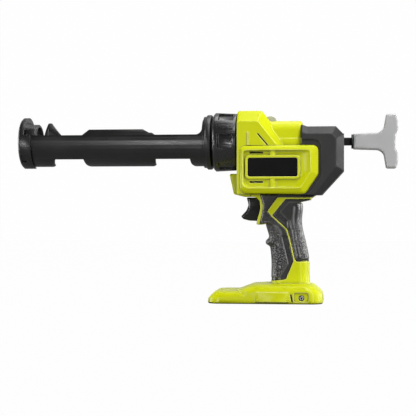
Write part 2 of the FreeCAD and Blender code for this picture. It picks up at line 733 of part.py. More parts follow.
def carriage_shell():
    trough = tube_x(SHELL_OUTER, SHELL_INNER, CAP_INNER_X, FLANGE_FRONT_X)
    trough = trough.common(prism(trough_outline(), -FAR, 0))
    step_x = FLANGE_FRONT_X - FLANGE_STEP_LENGTH
    rear = turned_x([
        (step_x, SHELL_INNER), (step_x, FLANGE_STEP_RADIUS),
        (FLANGE_FRONT_X, FLANGE_STEP_RADIUS), (FLANGE_FRONT_X, FLANGE_RADIUS - FLANGE_EDGE),
        (FLANGE_FRONT_X + FLANGE_EDGE, FLANGE_RADIUS), (FLANGE_REAR_X - FLANGE_EDGE, FLANGE_RADIUS),
        (FLANGE_REAR_X, FLANGE_RADIUS - FLANGE_EDGE), (FLANGE_REAR_X, HUB_OUTER), (HUB_REAR_X, HUB_OUTER),
        (HUB_REAR_X, HUB_INNER), (SEAT_X, HUB_INNER), (SEAT_X, SHELL_INNER),
    ])
    groove = tube_x(FLANGE_RADIUS, HUB_OUTER - SNAP_GROOVE, SNAP_FRONT_X, SNAP_FRONT_X + SNAP_THICK)
    return trough.fuse(rear).cut(groove).cut(fin_pocket()).removeSplitter()


def front_cap():
    plate_front = CAP_INNER_X - CAP_THICK
    cap = turned_x([
        (plate_front, 0), (plate_front, CAP_RADIUS - CAP_EDGE), (plate_front + CAP_EDGE, CAP_RADIUS),
        (CAP_INNER_X, CAP_RADIUS), (CAP_INNER_X, 0),
    ])
    skirt = tube_x(CAP_RADIUS, SHELL_OUTER + FIT, CAP_INNER_X, CAP_INNER_X + CAP_SKIRT_LENGTH)
    cap = cap.fuse(skirt.common(box(-FAR, FAR, -FAR, 0, -FAR, AXIS_Z + STRIP_TOP)))
    arch_low = AXIS_Z + STRIP_TOP + LOOSE
    arch = prism([
        (CAP_INNER_X, arch_low, 0), (CAP_INNER_X + CAP_ARCH_LENGTH, arch_low, 0),
        (CAP_INNER_X + CAP_ARCH_LENGTH, AXIS_Z + CAP_ARCH_TOP, CAP_ARCH_CORNER),
        (CAP_INNER_X, AXIS_Z + CAP_ARCH_TOP, 0)], -FAR, 0)
    slit = box(CAP_INNER_X, CAP_INNER_X + CAP_SLIT, -FAR, 0, arch_low, arch_low + CAP_SLIT_HEIGHT)
    wall = tube_x(SHELL_OUTER + FIT, SHELL_INNER, CAP_INNER_X, CAP_INNER_X + CAP_ARCH_LENGTH)
    arch = wall.common(arch).cut(slit)
    rib = tube_x(CAP_RIB_OUTER, CAP_RIB_INNER, plate_front - CAP_RIB_HEIGHT, plate_front)
    cap = cap.fuse([arch, rib])
    slot = rod_x(NOZZLE_RADIUS, plate_front - OVERRUN, CAP_INNER_X + OVERRUN)
    slot = slot.fuse(box(plate_front - OVERRUN, CAP_INNER_X + OVERRUN, 0, FAR, AXIS_Z - NOZZLE_RADIUS,
                         AXIS_Z + NOZZLE_RADIUS))
    notch = tube_x(FAR, CAP_RADIUS - CAP_NOTCH_DEPTH, plate_front + CAP_NOTCH_FRONT,
                   plate_front + CAP_NOTCH_FRONT + CAP_NOTCH_LENGTH)
    notch = notch.common(box(-FAR, FAR, -FAR, 0, AXIS_Z + CAP_NOTCH_LOW, AXIS_Z + CAP_NOTCH_HIGH))
    return cap.cut(slot).cut(notch).removeSplitter()


def carriage_seal():
    ring_x = FLANGE_REAR_X + SEAL_SECTION
    return Part.makeTorus(SEAL_RADIUS, SEAL_SECTION, Vector(ring_x, 0, AXIS_Z), Vector(1, 0, 0))


def snap_ring():
    ring = tube_x(SNAP_RADIUS, HUB_OUTER - SNAP_GROOVE, SNAP_FRONT_X, SNAP_FRONT_X + SNAP_THICK)
    half_gap = SNAP_GAP / 2
    return ring.cut(box(-FAR, FAR, -half_gap, half_gap, AXIS_Z - FAR, AXIS_Z))


def lock_collar():
    bore = SLEEVE_OUTER + LOOSE
    collar = turned_x([
        (COLLAR_FRONT_X, bore), (COLLAR_FRONT_X, COLLAR_RADIUS_FRONT - COLLAR_EDGE),
        (COLLAR_FRONT_X + COLLAR_EDGE, COLLAR_RADIUS_FRONT),
        (COLLAR_REAR_X - COLLAR_EDGE, COLLAR_RADIUS_REAR),
        (COLLAR_REAR_X, COLLAR_RADIUS_REAR - COLLAR_EDGE), (COLLAR_REAR_X, bore),
    ])
    middle = (COLLAR_FRONT_X + COLLAR_REAR_X) / 2
    front = middle - COLLAR_PAD_LENGTH / 2
    rear = middle + COLLAR_PAD_LENGTH / 2
    half_width = COLLAR_PAD_WIDTH / 2
    over = COLLAR_RADIUS_FRONT + OVERRUN
    floor = COLLAR_RADIUS_REAR - COLLAR_PAD_DEPTH
    ring = turned_x([
        (front, over), (front, COLLAR_RADIUS_FRONT), (front + COLLAR_PAD_RAMP, floor), (rear, floor),
        (rear, over),
    ])
    pad = ring.common(box(front, rear, -half_width, half_width, AXIS_Z, AXIS_Z + FAR))
    for index in range(COLLAR_PADS):
        turn = COLLAR_PAD_TURN + index * 360 / COLLAR_PADS
        collar = collar.cut(pad.rotated(Vector(0, 0, AXIS_Z), Vector(1, 0, 0), turn))
    return collar


def nose_sleeve():
    front = COLLAR_FRONT_X + SLEEVE_FRONT_GAP
    bore = HUB_OUTER + LOOSE
    return turned_x([
        (front, bore), (front, SLEEVE_OUTER), (CAVITY_FRONT_X, SLEEVE_OUTER),
        (CAVITY_FRONT_X, SLEEVE_FLANGE_RADIUS), (SLEEVE_FLANGE_REAR_X, SLEEVE_FLANGE_RADIUS),
        (SLEEVE_FLANGE_REAR_X, bore),
    ])


# Rod group
def rod_passage(x_low, x_high, clearance):
    return box(x_low, x_high, -ROD_HALF_WIDTH - clearance, ROD_HALF_WIDTH + clearance,
               AXIS_Z - ROD_HALF_HEIGHT - clearance, AXIS_Z + ROD_HALF_HEIGHT + clearance)


def push_rod():
    pitch = math.pi * RACK_MODULE
    slope = math.tan(math.radians(PRESSURE_ANGLE))
    tip_z = AXIS_Z - ROD_HALF_HEIGHT
    root_z = PITCH_LINE_Z + RACK_MODULE * (1 + TIP_CLEARANCE_SHARE)
    tip_half = pitch / 4 - RACK_BACKLASH / 2 - RACK_MODULE * slope
    root_half = tip_half + (root_z - tip_z) * slope
    first = math.ceil((ROD_FRONT_X + ROD_TEETH_START - PINION_X) / pitch)
    last = math.floor((ROD_TEETH_END_X - PINION_X) / pitch)
    points = [(ROD_FRONT_X, AXIS_Z + ROD_HALF_HEIGHT), (ROD_FRONT_X, tip_z)]
    for index in range(first, last):
        centre = PINION_X + (index + 1 / 2) * pitch
        if index > first:
            points.append((centre - root_half, root_z))
            points.append((centre - tip_half, tip_z))
        if index < last - 1:
            points.append((centre + tip_half, tip_z))
            points.append((centre + root_half, root_z))
    points += [(ROD_REAR_X, tip_z), (ROD_REAR_X, AXIS_Z + ROD_HALF_HEIGHT)]
    rod = prism(sharp(points), -ROD_HALF_WIDTH, ROD_HALF_WIDTH)
    top = AXIS_Z + ROD_HALF_HEIGHT

    def top_edge(edge):
        return edge.BoundBox.XLength > CARTRIDGE_LENGTH and edge.BoundBox.ZMin > top - FIT

    rod = rod.makeChamfer(ROD_EDGE, [edge for edge in rod.Edges if top_edge(edge)])
    tapped = rod_x(PLUNGER_SCREW_RADIUS + FIT, ROD_FRONT_X - OVERRUN,
                   PLUNGER_FRONT_X + PLUNGER_SCREW_LENGTH + FIT)
    cross = rod_y(HANDLE_STEM_X + PIN_X, AXIS_Z, PIN_RADIUS + FIT, -FAR, FAR)
    return rod.cut(tapped).cut(cross)


def plunger_disc():
    rear = PLUNGER_FRONT_X + PLUNGER_THICK
    disc = turned_x([
        (PLUNGER_FRONT_X, PLUNGER_SCREW_RADIUS + FIT), (PLUNGER_FRONT_X, PLUNGER_RADIUS - PLUNGER_EDGE),
        (PLUNGER_FRONT_X + PLUNGER_EDGE, PLUNGER_RADIUS), (rear - PLUNGER_EDGE, PLUNGER_RADIUS),
        (rear, PLUNGER_RADIUS - PLUNGER_EDGE), (rear, PLUNGER_RADIUS - PLUNGER_RIM),
        (PLUNGER_FRONT_X + PLUNGER_DISH, PLUNGER_RADIUS - PLUNGER_RIM - PLUNGER_EDGE),
        (PLUNGER_FRONT_X + PLUNGER_DISH, PLUNGER_HUB + PLUNGER_EDGE), (rear, PLUNGER_HUB),
        (rear, PLUNGER_SCREW_RADIUS + FIT),
    ])
    return disc.cut(rod_passage(ROD_FRONT_X, FAR, FIT))


def plunger_screw():
    screw = rod_x(PLUNGER_SCREW_RADIUS, PLUNGER_FRONT_X, PLUNGER_FRONT_X + PLUNGER_SCREW_LENGTH)
    head_front = PLUNGER_FRONT_X - PLUNGER_SCREW_HEAD_HEIGHT
    screw = screw.fuse(rod_x(PLUNGER_SCREW_HEAD, head_front, PLUNGER_FRONT_X))
    key = rod_x(PLUNGER_SCREW_SOCKET, head_front - OVERRUN, head_front + PLUNGER_SCREW_SOCKET)
    return screw.cut(key).removeSplitter()


def t_outline(inset):
    upper = [(HANDLE_STEM_X + x, AXIS_Z + z, radius) for x, z, radius in T_OUTLINE]
    lower = [(HANDLE_STEM_X + x, AXIS_Z - z, radius) for x, z, radius in reversed(T_OUTLINE)]
    return rounded_wire(upper + lower, inset)


def pull_handle():
    handle = Part.Face(t_outline(-T_HALF_THICK)).extrude(Vector(0, T_HALF_THICK + T_HALF_THICK, 0))
    handle = softened(handle, T_EDGE, at_sides(T_HALF_THICK))
    bore = rod_passage(HANDLE_STEM_X - OVERRUN, ROD_REAR_X + FIT, FIT)
    cross = rod_y(HANDLE_STEM_X + PIN_X, AXIS_Z, PIN_RADIUS + FIT, -PIN_HALF_LENGTH, FAR)
    return handle.cut(bore).cut(cross)


def handle_washer():
    washer = rod_x(WASHER_RADIUS, HANDLE_STEM_X - WASHER_THICK, HANDLE_STEM_X)
    return washer.cut(rod_passage(-FAR, FAR, FIT))


def handle_pin():
    return rod_y(HANDLE_STEM_X + PIN_X, AXIS_Z, PIN_RADIUS, -PIN_HALF_LENGTH, PIN_HALF_LENGTH)


def rod_guide_front():
    guide = box(GUIDE_FRONT_X, GUIDE_FRONT_X + GUIDE_FRONT_LENGTH, -CAVITY_TOP_Y, CAVITY_TOP_Y,
                AXIS_Z - GUIDE_FRONT_DROP, CAVITY_TOP_Z)
    corner = box(-FAR, FAR, -FAR, FAR, -FAR, CAVITY_SHOULDER_Z)
    guide = guide.cut(corner.cut(box(-FAR, FAR, -GUIDE_RADIUS, GUIDE_RADIUS, -FAR, FAR)))
    return guide.cut(rod_passage(-FAR, FAR, LOOSE))


def rod_guide_rear():
    guide = rod_x(GUIDE_RADIUS, CAVITY_REAR_X, BOOT_REAR_X)
    guide = guide.fuse(rod_x(GUIDE_FLANGE, CAVITY_REAR_X - GUIDE_FLANGE_THICK, CAVITY_REAR_X))
    return guide.cut(rod_passage(-FAR, FAR, LOOSE)).removeSplitter()


# Drive
def pinion_shaft():
    pinion = gear(PINION_X, PINION_Z, RACK_MODULE, PINION_TEETH, math.pi / 2, -PINION_HALF_FACE,
                  PINION_HALF_FACE + PINION_HALF_FACE, PINION_SHAFT_RADIUS)
    shaft = rod_y(PINION_X, PINION_Z, PINION_SHAFT_RADIUS, -CLUTCH_DISC_Y - BEARING_LENGTH,
                  SECOND_GEAR_Y + BEARING_LENGTH)
    return pinion.fuse(shaft).removeSplitter()


def clutch_disc():
    disc = rod_y(PINION_X, PINION_Z, CLUTCH_DISC_RADIUS, CLUTCH_DISC_Y, CLUTCH_DISC_Y + CLUTCH_DISC_THICK)
    disc = disc.cut(rod_y(PINION_X, PINION_Z, PINION_SHAFT_RADIUS + FIT, -FAR, FAR))
    for index in range(CLUTCH_LUGS):
        turn = 2 * math.pi * index / CLUTCH_LUGS
        x = PINION_X + CLUTCH_LUG_CIRCLE * math.cos(turn)
        z = PINION_Z + CLUTCH_LUG_CIRCLE * math.sin(turn)
        disc = disc.cut(rod_y(x, z, CLUTCH_LUG_RADIUS, -FAR, FAR))
    return disc


def clutch_gear():
    phase = gap_towards(CLUTCH_LINE, CLUTCH_WHEEL_TEETH)
    bore = PINION_SHAFT_RADIUS + RUNNING_FIT
    wheel = gear(PINION_X, PINION_Z, CLUTCH_MODULE, CLUTCH_WHEEL_TEETH, phase, CLUTCH_GEAR_Y,
                 CLUTCH_GEAR_FACE, bore)
    rim = CLUTCH_MODULE * (CLUTCH_WHEEL_TEETH / 2 - RIM_MODULES)
    return webbed(wheel, PINION_X, PINION_Z, rim, BEARING_RADIUS, CLUTCH_GEAR_Y, CLUTCH_GEAR_FACE)


def second_gear():
    x, z = SECOND_SPOT
    bore = GEAR_SHAFT_RADIUS + RUNNING_FIT
    phase = gap_towards(SECOND_LINE, SECOND_WHEEL_TEETH)
    wheel = gear(x, z, SECOND_MODULE, SECOND_WHEEL_TEETH, phase, SECOND_GEAR_Y, SECOND_GEAR_FACE, bore)
    rim = SECOND_MODULE * (SECOND_WHEEL_TEETH / 2 - RIM_MODULES)
    hub = CLUTCH_MODULE * CLUTCH_DRIVER_TEETH / 2
    wheel = webbed(wheel, x, z, rim, hub, SECOND_GEAR_Y, SECOND_GEAR_FACE)
    face = SECOND_GEAR_Y - CLUTCH_GEAR_Y
    driver = gear(x, z, CLUTCH_MODULE, CLUTCH_DRIVER_TEETH, CLUTCH_LINE, CLUTCH_GEAR_Y, face, bore)
    return wheel.fuse(driver).removeSplitter()


def first_gear():
    x, z = FIRST_SPOT
    bore = GEAR_SHAFT_RADIUS + RUNNING_FIT
    phase = gap_towards(FIRST_LINE, FIRST_WHEEL_TEETH)
    wheel = gear(x, z, FIRST_MODULE, FIRST_WHEEL_TEETH, phase, FIRST_GEAR_Y, FIRST_GEAR_FACE, bore)
    rim = FIRST_MODULE * (FIRST_WHEEL_TEETH / 2 - RIM_MODULES)
    hub = SECOND_MODULE * SECOND_DRIVER_TEETH / 2
    wheel = webbed(wheel, x, z, rim, hub, FIRST_GEAR_Y, FIRST_GEAR_FACE)
    face = FIRST_GEAR_Y - SECOND_GEAR_Y
    driver = gear(x, z, SECOND_MODULE, SECOND_DRIVER_TEETH, SECOND_LINE, SECOND_GEAR_Y, face, bore)
    return wheel.fuse(driver).removeSplitter()


def first_gear_shaft():
    x, z = FIRST_SPOT
    return rod_y(x, z, GEAR_SHAFT_RADIUS, SECOND_GEAR_Y - BEARING_LENGTH, CAVITY_Y)


def second_gear_shaft():
    x, z = SECOND_SPOT
    return rod_y(x, z, GEAR_SHAFT_RADIUS, CLUTCH_GEAR_Y - BEARING_LENGTH, CAVITY_Y)


def pinion_bearings():
    right = CLUTCH_GEAR_Y + CLUTCH_GEAR_FACE + SIDE_PLAY
    bore = rod_y(PINION_X, PINION_Z, PINION_SHAFT_RADIUS + RUNNING_FIT, -FAR, FAR)
    left = -PINION_HALF_FACE - SIDE_PLAY
    sleeves = rod_y(PINION_X, PINION_Z, BEARING_RADIUS, right, right + BEARING_LENGTH)
    sleeves = sleeves.fuse(rod_y(PINION_X, PINION_Z, BEARING_RADIUS, left - BEARING_LENGTH, left))
    return sleeves.cut(bore)


def motor_pinion():
    top = FIRST_GEAR_Y + FIRST_GEAR_FACE
    pinion = gear(MOTOR_X, MOTOR_Z, FIRST_MODULE, FIRST_DRIVER_TEETH, FIRST_LINE, FIRST_GEAR_Y,
                  FIRST_GEAR_FACE, MOTOR_SHAFT_RADIUS)
    shaft = rod_y(MOTOR_X, MOTOR_Z, MOTOR_SHAFT_RADIUS, MOTOR_REAR_Y - HEAD_SHAFT_DEPTH, top)
    return pinion.fuse(shaft).removeSplitter()


def reduction_head():
    head = rod_y(MOTOR_X, MOTOR_Z, HEAD_RADIUS, HEAD_Y, MOTOR_REAR_Y - SIDE_PLAY)
    head = head.fuse(rod_y(MOTOR_X, MOTOR_Z, HEAD_BOSS_RADIUS, MOTOR_REAR_Y - SIDE_PLAY, MOTOR_REAR_Y))
    bore = rod_y(MOTOR_X, MOTOR_Z, MOTOR_SHAFT_RADIUS + RUNNING_FIT,
                 MOTOR_REAR_Y - HEAD_SHAFT_DEPTH - LOOSE, FAR)
    return head.cut(bore).removeSplitter()


def motor_can():
    can = rod_y(MOTOR_X, MOTOR_Z, MOTOR_RADIUS, CAN_Y, HEAD_Y)
    return softened(can, MOTOR_EDGE, lambda edge: abs(edge.BoundBox.YMin - HEAD_Y) < FIT)


def motor_end_bell():
    bell = rod_y(MOTOR_X, MOTOR_Z, END_BELL_RADIUS, BELL_Y, CAN_Y)
    return softened(bell, MOTOR_EDGE, lambda edge: abs(edge.BoundBox.YMax - BELL_Y) < FIT)


def roller_z():
    return AXIS_Z + ROD_HALF_HEIGHT + ROLLER_GAP + ROLLER_RADIUS


def backing_roller():
    x = PINION_X + ROLLER_SETBACK
    roller = rod_y(x, roller_z(), ROLLER_RADIUS, -ROLLER_HALF_FACE, ROLLER_HALF_FACE)
    return roller.cut(rod_y(x, roller_z(), ROLLER_PIN_RADIUS + RUNNING_FIT, -FAR, FAR))


def roller_pin():
    return rod_y(PINION_X + ROLLER_SETBACK, roller_z(), ROLLER_PIN_RADIUS, -CAVITY_TOP_Y, CAVITY_TOP_Y)


# Housing solids
def front_block():
    core = [
        (BODY_FRONT_X, BODY_BASE_Z, 0), (BODY_FRONT_X, HUMP_TOP_Z, HUMP_EDGE),
        (HUMP_REAR_X, HUMP_TOP_Z, HUMP_EDGE), (HUMP_FOOT_X, DECK_BASE_Z, 0), (HUMP_FOOT_X, BODY_BASE_Z, 0),
    ]
    side = [
        (BODY_FRONT_X, BODY_BASE_Z, 0), (BODY_FRONT_X, HUMP_SIDE_TOP_Z, HUMP_EDGE),
        (HUMP_SIDE_REAR_X, HUMP_SIDE_TOP_Z, HUMP_EDGE), (HUMP_SIDE_FOOT_X, DECK_BASE_Z, 0),
        (HUMP_SIDE_FOOT_X, BODY_BASE_Z, 0),
    ]
    block = bevelled(core, side, HUMP_CORE_Y, HUMP_SIDE_Y)
    slit = prism(sharp([
        (SLIT_TOP_X, SLIT_TOP_Z), (SLIT_TOP_X + SLIT_WIDTH, SLIT_TOP_Z),
        (SLIT_FOOT_X + SLIT_WIDTH, DECK_BASE_Z), (SLIT_FOOT_X, DECK_BASE_Z)]), -FAR, SLIT_DEPTH - HUMP_SIDE_Y)
    rib = box(SIDE_RIB_X, SIDE_RIB_X + SIDE_RIB_WIDTH, -HUMP_SIDE_Y - SIDE_RIB_HEIGHT, -HUMP_CORE_Y,
              DECK_BASE_Z, SIDE_RIB_TOP_Z)
    return block.cut(both_sides(slit)).fuse(both_sides(rib))


def deck_block():
    low = DECK_BASE_Z + DECK_BASE_Z - DECK_TOP_Z
    outline = [
        (-DECK_Y, low, 0), (DECK_Y, low, 0), (DECK_Y, DECK_TOP_Z, DECK_CORNER),
        (-DECK_Y, DECK_TOP_Z, DECK_CORNER),
    ]
    across = Part.Face(rounded_wire(outline, 0)).extrude(Vector(0, DECK_FRONT_X - DECK_REAR_X, 0))
    deck = across.rotated(Vector(0, 0, 0), Vector(0, 0, 1), 90).translated(Vector(DECK_FRONT_X, 0, 0))

    def rear_top(edge):
        return edge.BoundBox.XLength < FIT and edge.BoundBox.XMin > DECK_REAR_X - FIT and \
            edge.BoundBox.ZMin > DECK_BASE_Z

    side = DECK_Y + DECK_LEDGE_HEIGHT
    ledge = box(DECK_LEDGE_FRONT_X, DECK_REAR_X, -side, side, low, DECK_LEDGE_Z)
    ledge = ledge.makeChamfer(DECK_LEDGE_HEIGHT - FIT, [edge for edge in ledge.Edges if at_sides(side)(edge)
                                                        and edge.BoundBox.ZMin > DECK_LEDGE_Z - FIT])
    return softened(deck, HUMP_EDGE, rear_top).fuse(ledge)


def frame_outline(grow, rise):
    corner = FRAME_CORNER + grow
    high = DECK_BASE_Z + rise
    return [
        (FRAME_FRONT_X - grow, high, corner), (FRAME_REAR_X + grow, high, corner),
        (FRAME_REAR_X + grow, FRAME_REAR_LOW_Z - grow / 2, corner),
        (FRAME_LOW_REAR_X + grow / 2, BODY_BASE_Z - grow, corner),
        (FRAME_FRONT_X - grow, BODY_BASE_Z - grow, FRAME_LOW_CORNER + grow),
    ]


def recess_outline(depth_share):
    """Outline of the recess in the side frame, from its rim at 0 to its floor at 1."""
    front = FRAME_FRONT_X + FRAME_FRONT_BORDER + FRAME_FRONT_SLOPE * depth_share
    rear = FRAME_REAR_X - FRAME_REAR_BORDER - FRAME_REAR_SLOPE * depth_share
    low_rear = FRAME_LOW_REAR_X - FRAME_BORDER - FRAME_REAR_SLOPE * depth_share
    high = DECK_BASE_Z - FRAME_BORDER - FRAME_SLOPE * depth_share
    low = BODY_BASE_Z + FRAME_LOW_BORDER + FRAME_SLOPE * depth_share
    return [
        (front, high, FRAME_CORNER - HUMP_EDGE), (rear, high, FRAME_CORNER - HUMP_EDGE),
        (rear, FRAME_REAR_LOW_Z + HUMP_EDGE, HUMP_EDGE), (low_rear, low, HUMP_EDGE),
        (front, low, FRAME_CORNER),
    ]


def frame_block():
    frame = prism(frame_outline(0, 0), -FRAME_Y, FRAME_Y)
    frame = softened(frame, FRAME_EDGE, at_sides(FRAME_Y))
    rim = rounded_wire(recess_outline(0), -FRAME_Y)
    floor = rounded_wire(recess_outline(1), -FRAME_FLOOR_Y)
    recess = Part.makeLoft([rim, floor], True, True)
    frame = frame.cut(both_sides(recess))
    low = BODY_BASE_Z + FRAME_LOW_BORDER
    high = DECK_BASE_Z - FRAME_BORDER
    rib = Part.makeCylinder(FRAME_RIB_RADIUS, high - low,
                            Vector(FRAME_RIB_X, FRAME_RIB_SINK - FRAME_FLOOR_Y, low))
    frame = frame.fuse(both_sides(rib))
    boss = prism([
        (BOSS_FRONT_X, BOSS_HIGH_Z, BOSS_CORNER), (BOSS_REAR_X, BOSS_HIGH_Z, BOSS_CORNER),
        (BOSS_REAR_X, BOSS_LOW_Z, BOSS_CORNER), (BOSS_FRONT_X, BOSS_LOW_Z, BOSS_CORNER)], -PLATE_Y, PLATE_Y)
    boss = softened(boss, BOSS_EDGE, at_sides(PLATE_Y))
    return frame.fuse(boss)


def side_plate():
    """Bare plate sunk in the boss of the left frame."""
    front = BOSS_FRONT_X + PLATE_MARGIN
    rear = BOSS_REAR_X - PLATE_MARGIN
    low = BOSS_LOW_Z + PLATE_MARGIN
    high = BOSS_HIGH_Z - PLATE_MARGIN
    return prism([
        (front, high, PLATE_CORNER), (rear, high, PLATE_CORNER), (rear, low, PLATE_CORNER),
        (front, low, PLATE_CORNER)], -PLATE_Y, PLATE_THICK - PLATE_Y)


def rear_block(inset):
    """Block at the rear of the body; the boot is its outer skin."""
    top = BOOT_TOP_Z - inset
    rear = BOOT_REAR_X - inset
    low = BOOT_LOW_Z + inset
    core = [
        (BOOT_FRONT_X, BOOT_LIP_Z - inset), (BOOT_LIP_X, BOOT_LIP_Z - inset),
        (BOOT_LIP_X + BOOT_LIP_RUN, top), (rear - BOOT_TOP_CORNER_RUN, top),
        (rear, top - BOOT_TOP_CORNER_DROP), (rear, BOOT_LOW_REAR_Z),
        (BOOT_LOW_X - inset / 2, low), (BOOT_FRONT_X, low),
    ]
    bevel = BOOT_BEVEL
    side = [
        (BOOT_FRONT_X, BOOT_LIP_Z - inset - bevel), (BOOT_LIP_X, BOOT_LIP_Z - inset - bevel),
        (BOOT_LIP_X + BOOT_LIP_RUN, top - bevel), (rear - BOOT_TOP_CORNER_RUN - bevel / 2, top - bevel),
        (rear - bevel, top - BOOT_TOP_CORNER_DROP - bevel / 2), (rear - bevel, BOOT_LOW_REAR_Z + bevel / 2),
        (BOOT_LOW_X - inset / 2 - bevel, low), (BOOT_FRONT_X, low),
    ]
    return bevelled(sharp(core), sharp(side), BOOT_CORE_Y - inset / 2, BOOT_SIDE_Y - inset)


def body_chin():
    """Nose under the collar."""
    top = AXIS_Z - COLLAR_RADIUS_FRONT - HUMP_EDGE
    low = BODY_BASE_Z - HUMP_EDGE
    chin = prism([
        (BODY_FRONT_X - BODY_CHIN_REACH, top, COLLAR_EDGE),
        (BODY_FRONT_X - BODY_CHIN_LOW_REACH, BODY_BASE_Z, HUMP_EDGE),
        (BODY_FRONT_X + FRAME_CORNER, low, 0),
        (NECK_OUTLINE[1][0], low, 0),
        (NECK_OUTLINE[0][0], NECK_OUTLINE[0][1], 0),
        (BODY_FRONT_X + COLLAR_EDGE, top, 0)], -BODY_CHIN_Y, BODY_CHIN_Y)
    return softened(chin, BODY_CHIN_EDGE, at_sides(BODY_CHIN_Y))


def neck_block():
    neck = prism(NECK_OUTLINE, -NECK_Y, NECK_Y)
    return softened(neck, NECK_EDGE, at_sides(NECK_Y))


def handle_block(inset):
    rows = [(z, front + inset, rear - inset, half - inset, corner - inset)
            for z, front, rear, half, corner in HANDLE_SECTIONS]
    return stack(rows, False)


def foot_panel_outline(bevel_share):
    """Corners of the raised panel on the side of the foot, its ends set in by a share of their bevels."""
    low_inset = FOOT_PANEL_LOW_BEVEL * bevel_share
    high_inset = FOOT_PANEL_HIGH_BEVEL * bevel_share
    return sharp([
        (FOOT_PANEL_FRONT_X + low_inset, FOOT_PANEL_LOW_Z),
        (FOOT_PANEL_REAR_X - low_inset, FOOT_PANEL_LOW_Z),
        (FOOT_PANEL_REAR_X - high_inset, FOOT_PANEL_HIGH_Z),
        (FOOT_PANEL_FRONT_X + high_inset, FOOT_PANEL_HIGH_Z)])


def foot_block():
    foot = stack(LEDGE_SECTIONS, True).fuse(stack(BASE_SECTIONS, True))
    side = LEDGE_SECTIONS[1][3]
    panel = Part.makeLoft([
        rounded_wire(foot_panel_outline(1), -side - FOOT_PANEL_HEIGHT),
        rounded_wire(foot_panel_outline(0), -side), rounded_wire(foot_panel_outline(0), -FOOT_CAVITY_Y)],
        True, True)
    slot = prism(sharp([
        (FOOT_SLOT_X, FOOT_SLOT_HIGH_Z), (FOOT_SLOT_X + FOOT_SLOT_WIDTH, FOOT_SLOT_HIGH_Z),
        (FOOT_SLOT_X + FOOT_SLOT_WIDTH + FOOT_SLOT_SLANT, FOOT_SLOT_LOW_Z),
        (FOOT_SLOT_X + FOOT_SLOT_SLANT, FOOT_SLOT_LOW_Z)]), -FAR, FOOT_SLOT_DEPTH - side)
    recess = prism([
        (FOOT_RECESS_FRONT_X, FOOT_PANEL_LOW_Z, FOOT_RECESS_CORNER),
        (FOOT_RECESS_REAR_X, FOOT_PANEL_LOW_Z, FOOT_RECESS_CORNER),
        (FOOT_RECESS_REAR_X, FOOT_RECESS_HIGH_Z, FOOT_RECESS_CORNER),
        (FOOT_RECESS_FRONT_X, FOOT_RECESS_HIGH_Z, FOOT_RECESS_CORNER)], -FAR, FOOT_RECESS_DEPTH - side)
    return foot.fuse(both_sides(panel)).cut(both_sides(recess.fuse(slot)))


# Housing hollows
def main_cavity():
    rear_z = CAVITY_REAR_SHOULDER_Z
    lower = prism(sharp([
        (CAVITY_FRONT_X, CAVITY_LOW_Z), (CAVITY_LOW_REAR_X, CAVITY_LOW_Z), (CAVITY_REAR_X, CAVITY_LOW_REAR_Z),
        (CAVITY_REAR_X, rear_z), (CAVITY_STEP_X, rear_z), (CAVITY_STEP_X, CAVITY_SHOULDER_Z),
        (CAVITY_FRONT_X, CAVITY_SHOULDER_Z)]), -CAVITY_Y, CAVITY_Y)
    upper = box(CAVITY_FRONT_X, CAVITY_REAR_X, -CAVITY_TOP_Y, CAVITY_TOP_Y, CAVITY_SHOULDER_Z - OVERRUN,
                CAVITY_TOP_Z)
    return lower.fuse(upper)


def cavity_bosses():
    """Moulded bosses that carry the shafts, the bearings and the motor inside the cavity."""
    right = CLUTCH_GEAR_Y + CLUTCH_GEAR_FACE + SIDE_PLAY
    left = -PINION_HALF_FACE - SIDE_PLAY
    carry = rod_y(PINION_X, PINION_Z, BEARING_BOSS, right, CAVITY_Y + FIT)
    carry = carry.fuse(rod_y(PINION_X, PINION_Z, BEARING_BOSS, -CAVITY_Y - FIT, left))
    reach = SECOND_MODULE * SECOND_WHEEL_TEETH / 2 + SECOND_MODULE + SIDE_PLAY
    carry = carry.cut(rod_y(*SECOND_SPOT, reach, 0, SECOND_GEAR_Y + SECOND_GEAR_FACE + SIDE_PLAY))
    for spot, start, stop in (
            (FIRST_SPOT, SECOND_GEAR_Y, FIRST_GEAR_Y + FIRST_GEAR_FACE),
            (SECOND_SPOT, CLUTCH_GEAR_Y, SECOND_GEAR_Y + SECOND_GEAR_FACE)):
        carry = carry.fuse(rod_y(*spot, SHAFT_BOSS, -CAVITY_Y - FIT, start - SIDE_PLAY))
        if spot is FIRST_SPOT:
            carry = carry.fuse(rod_y(*spot, SHAFT_BOSS, stop + SIDE_PLAY, CAVITY_Y + FIT))
    tall = FIRST_GEAR_Y + FIRST_GEAR_FACE + SIDE_PLAY
    carry = carry.fuse(rod_y(*SECOND_SPOT, SHAFT_BOSS, tall, CAVITY_Y + FIT))
    cup_radius = MOTOR_RADIUS + FIT + MOTOR_CUP_WALL
    return carry.fuse(rod_y(MOTOR_X, MOTOR_Z, cup_radius, -CAVITY_Y - FIT, MOTOR_CUP_LENGTH - CAVITY_Y))


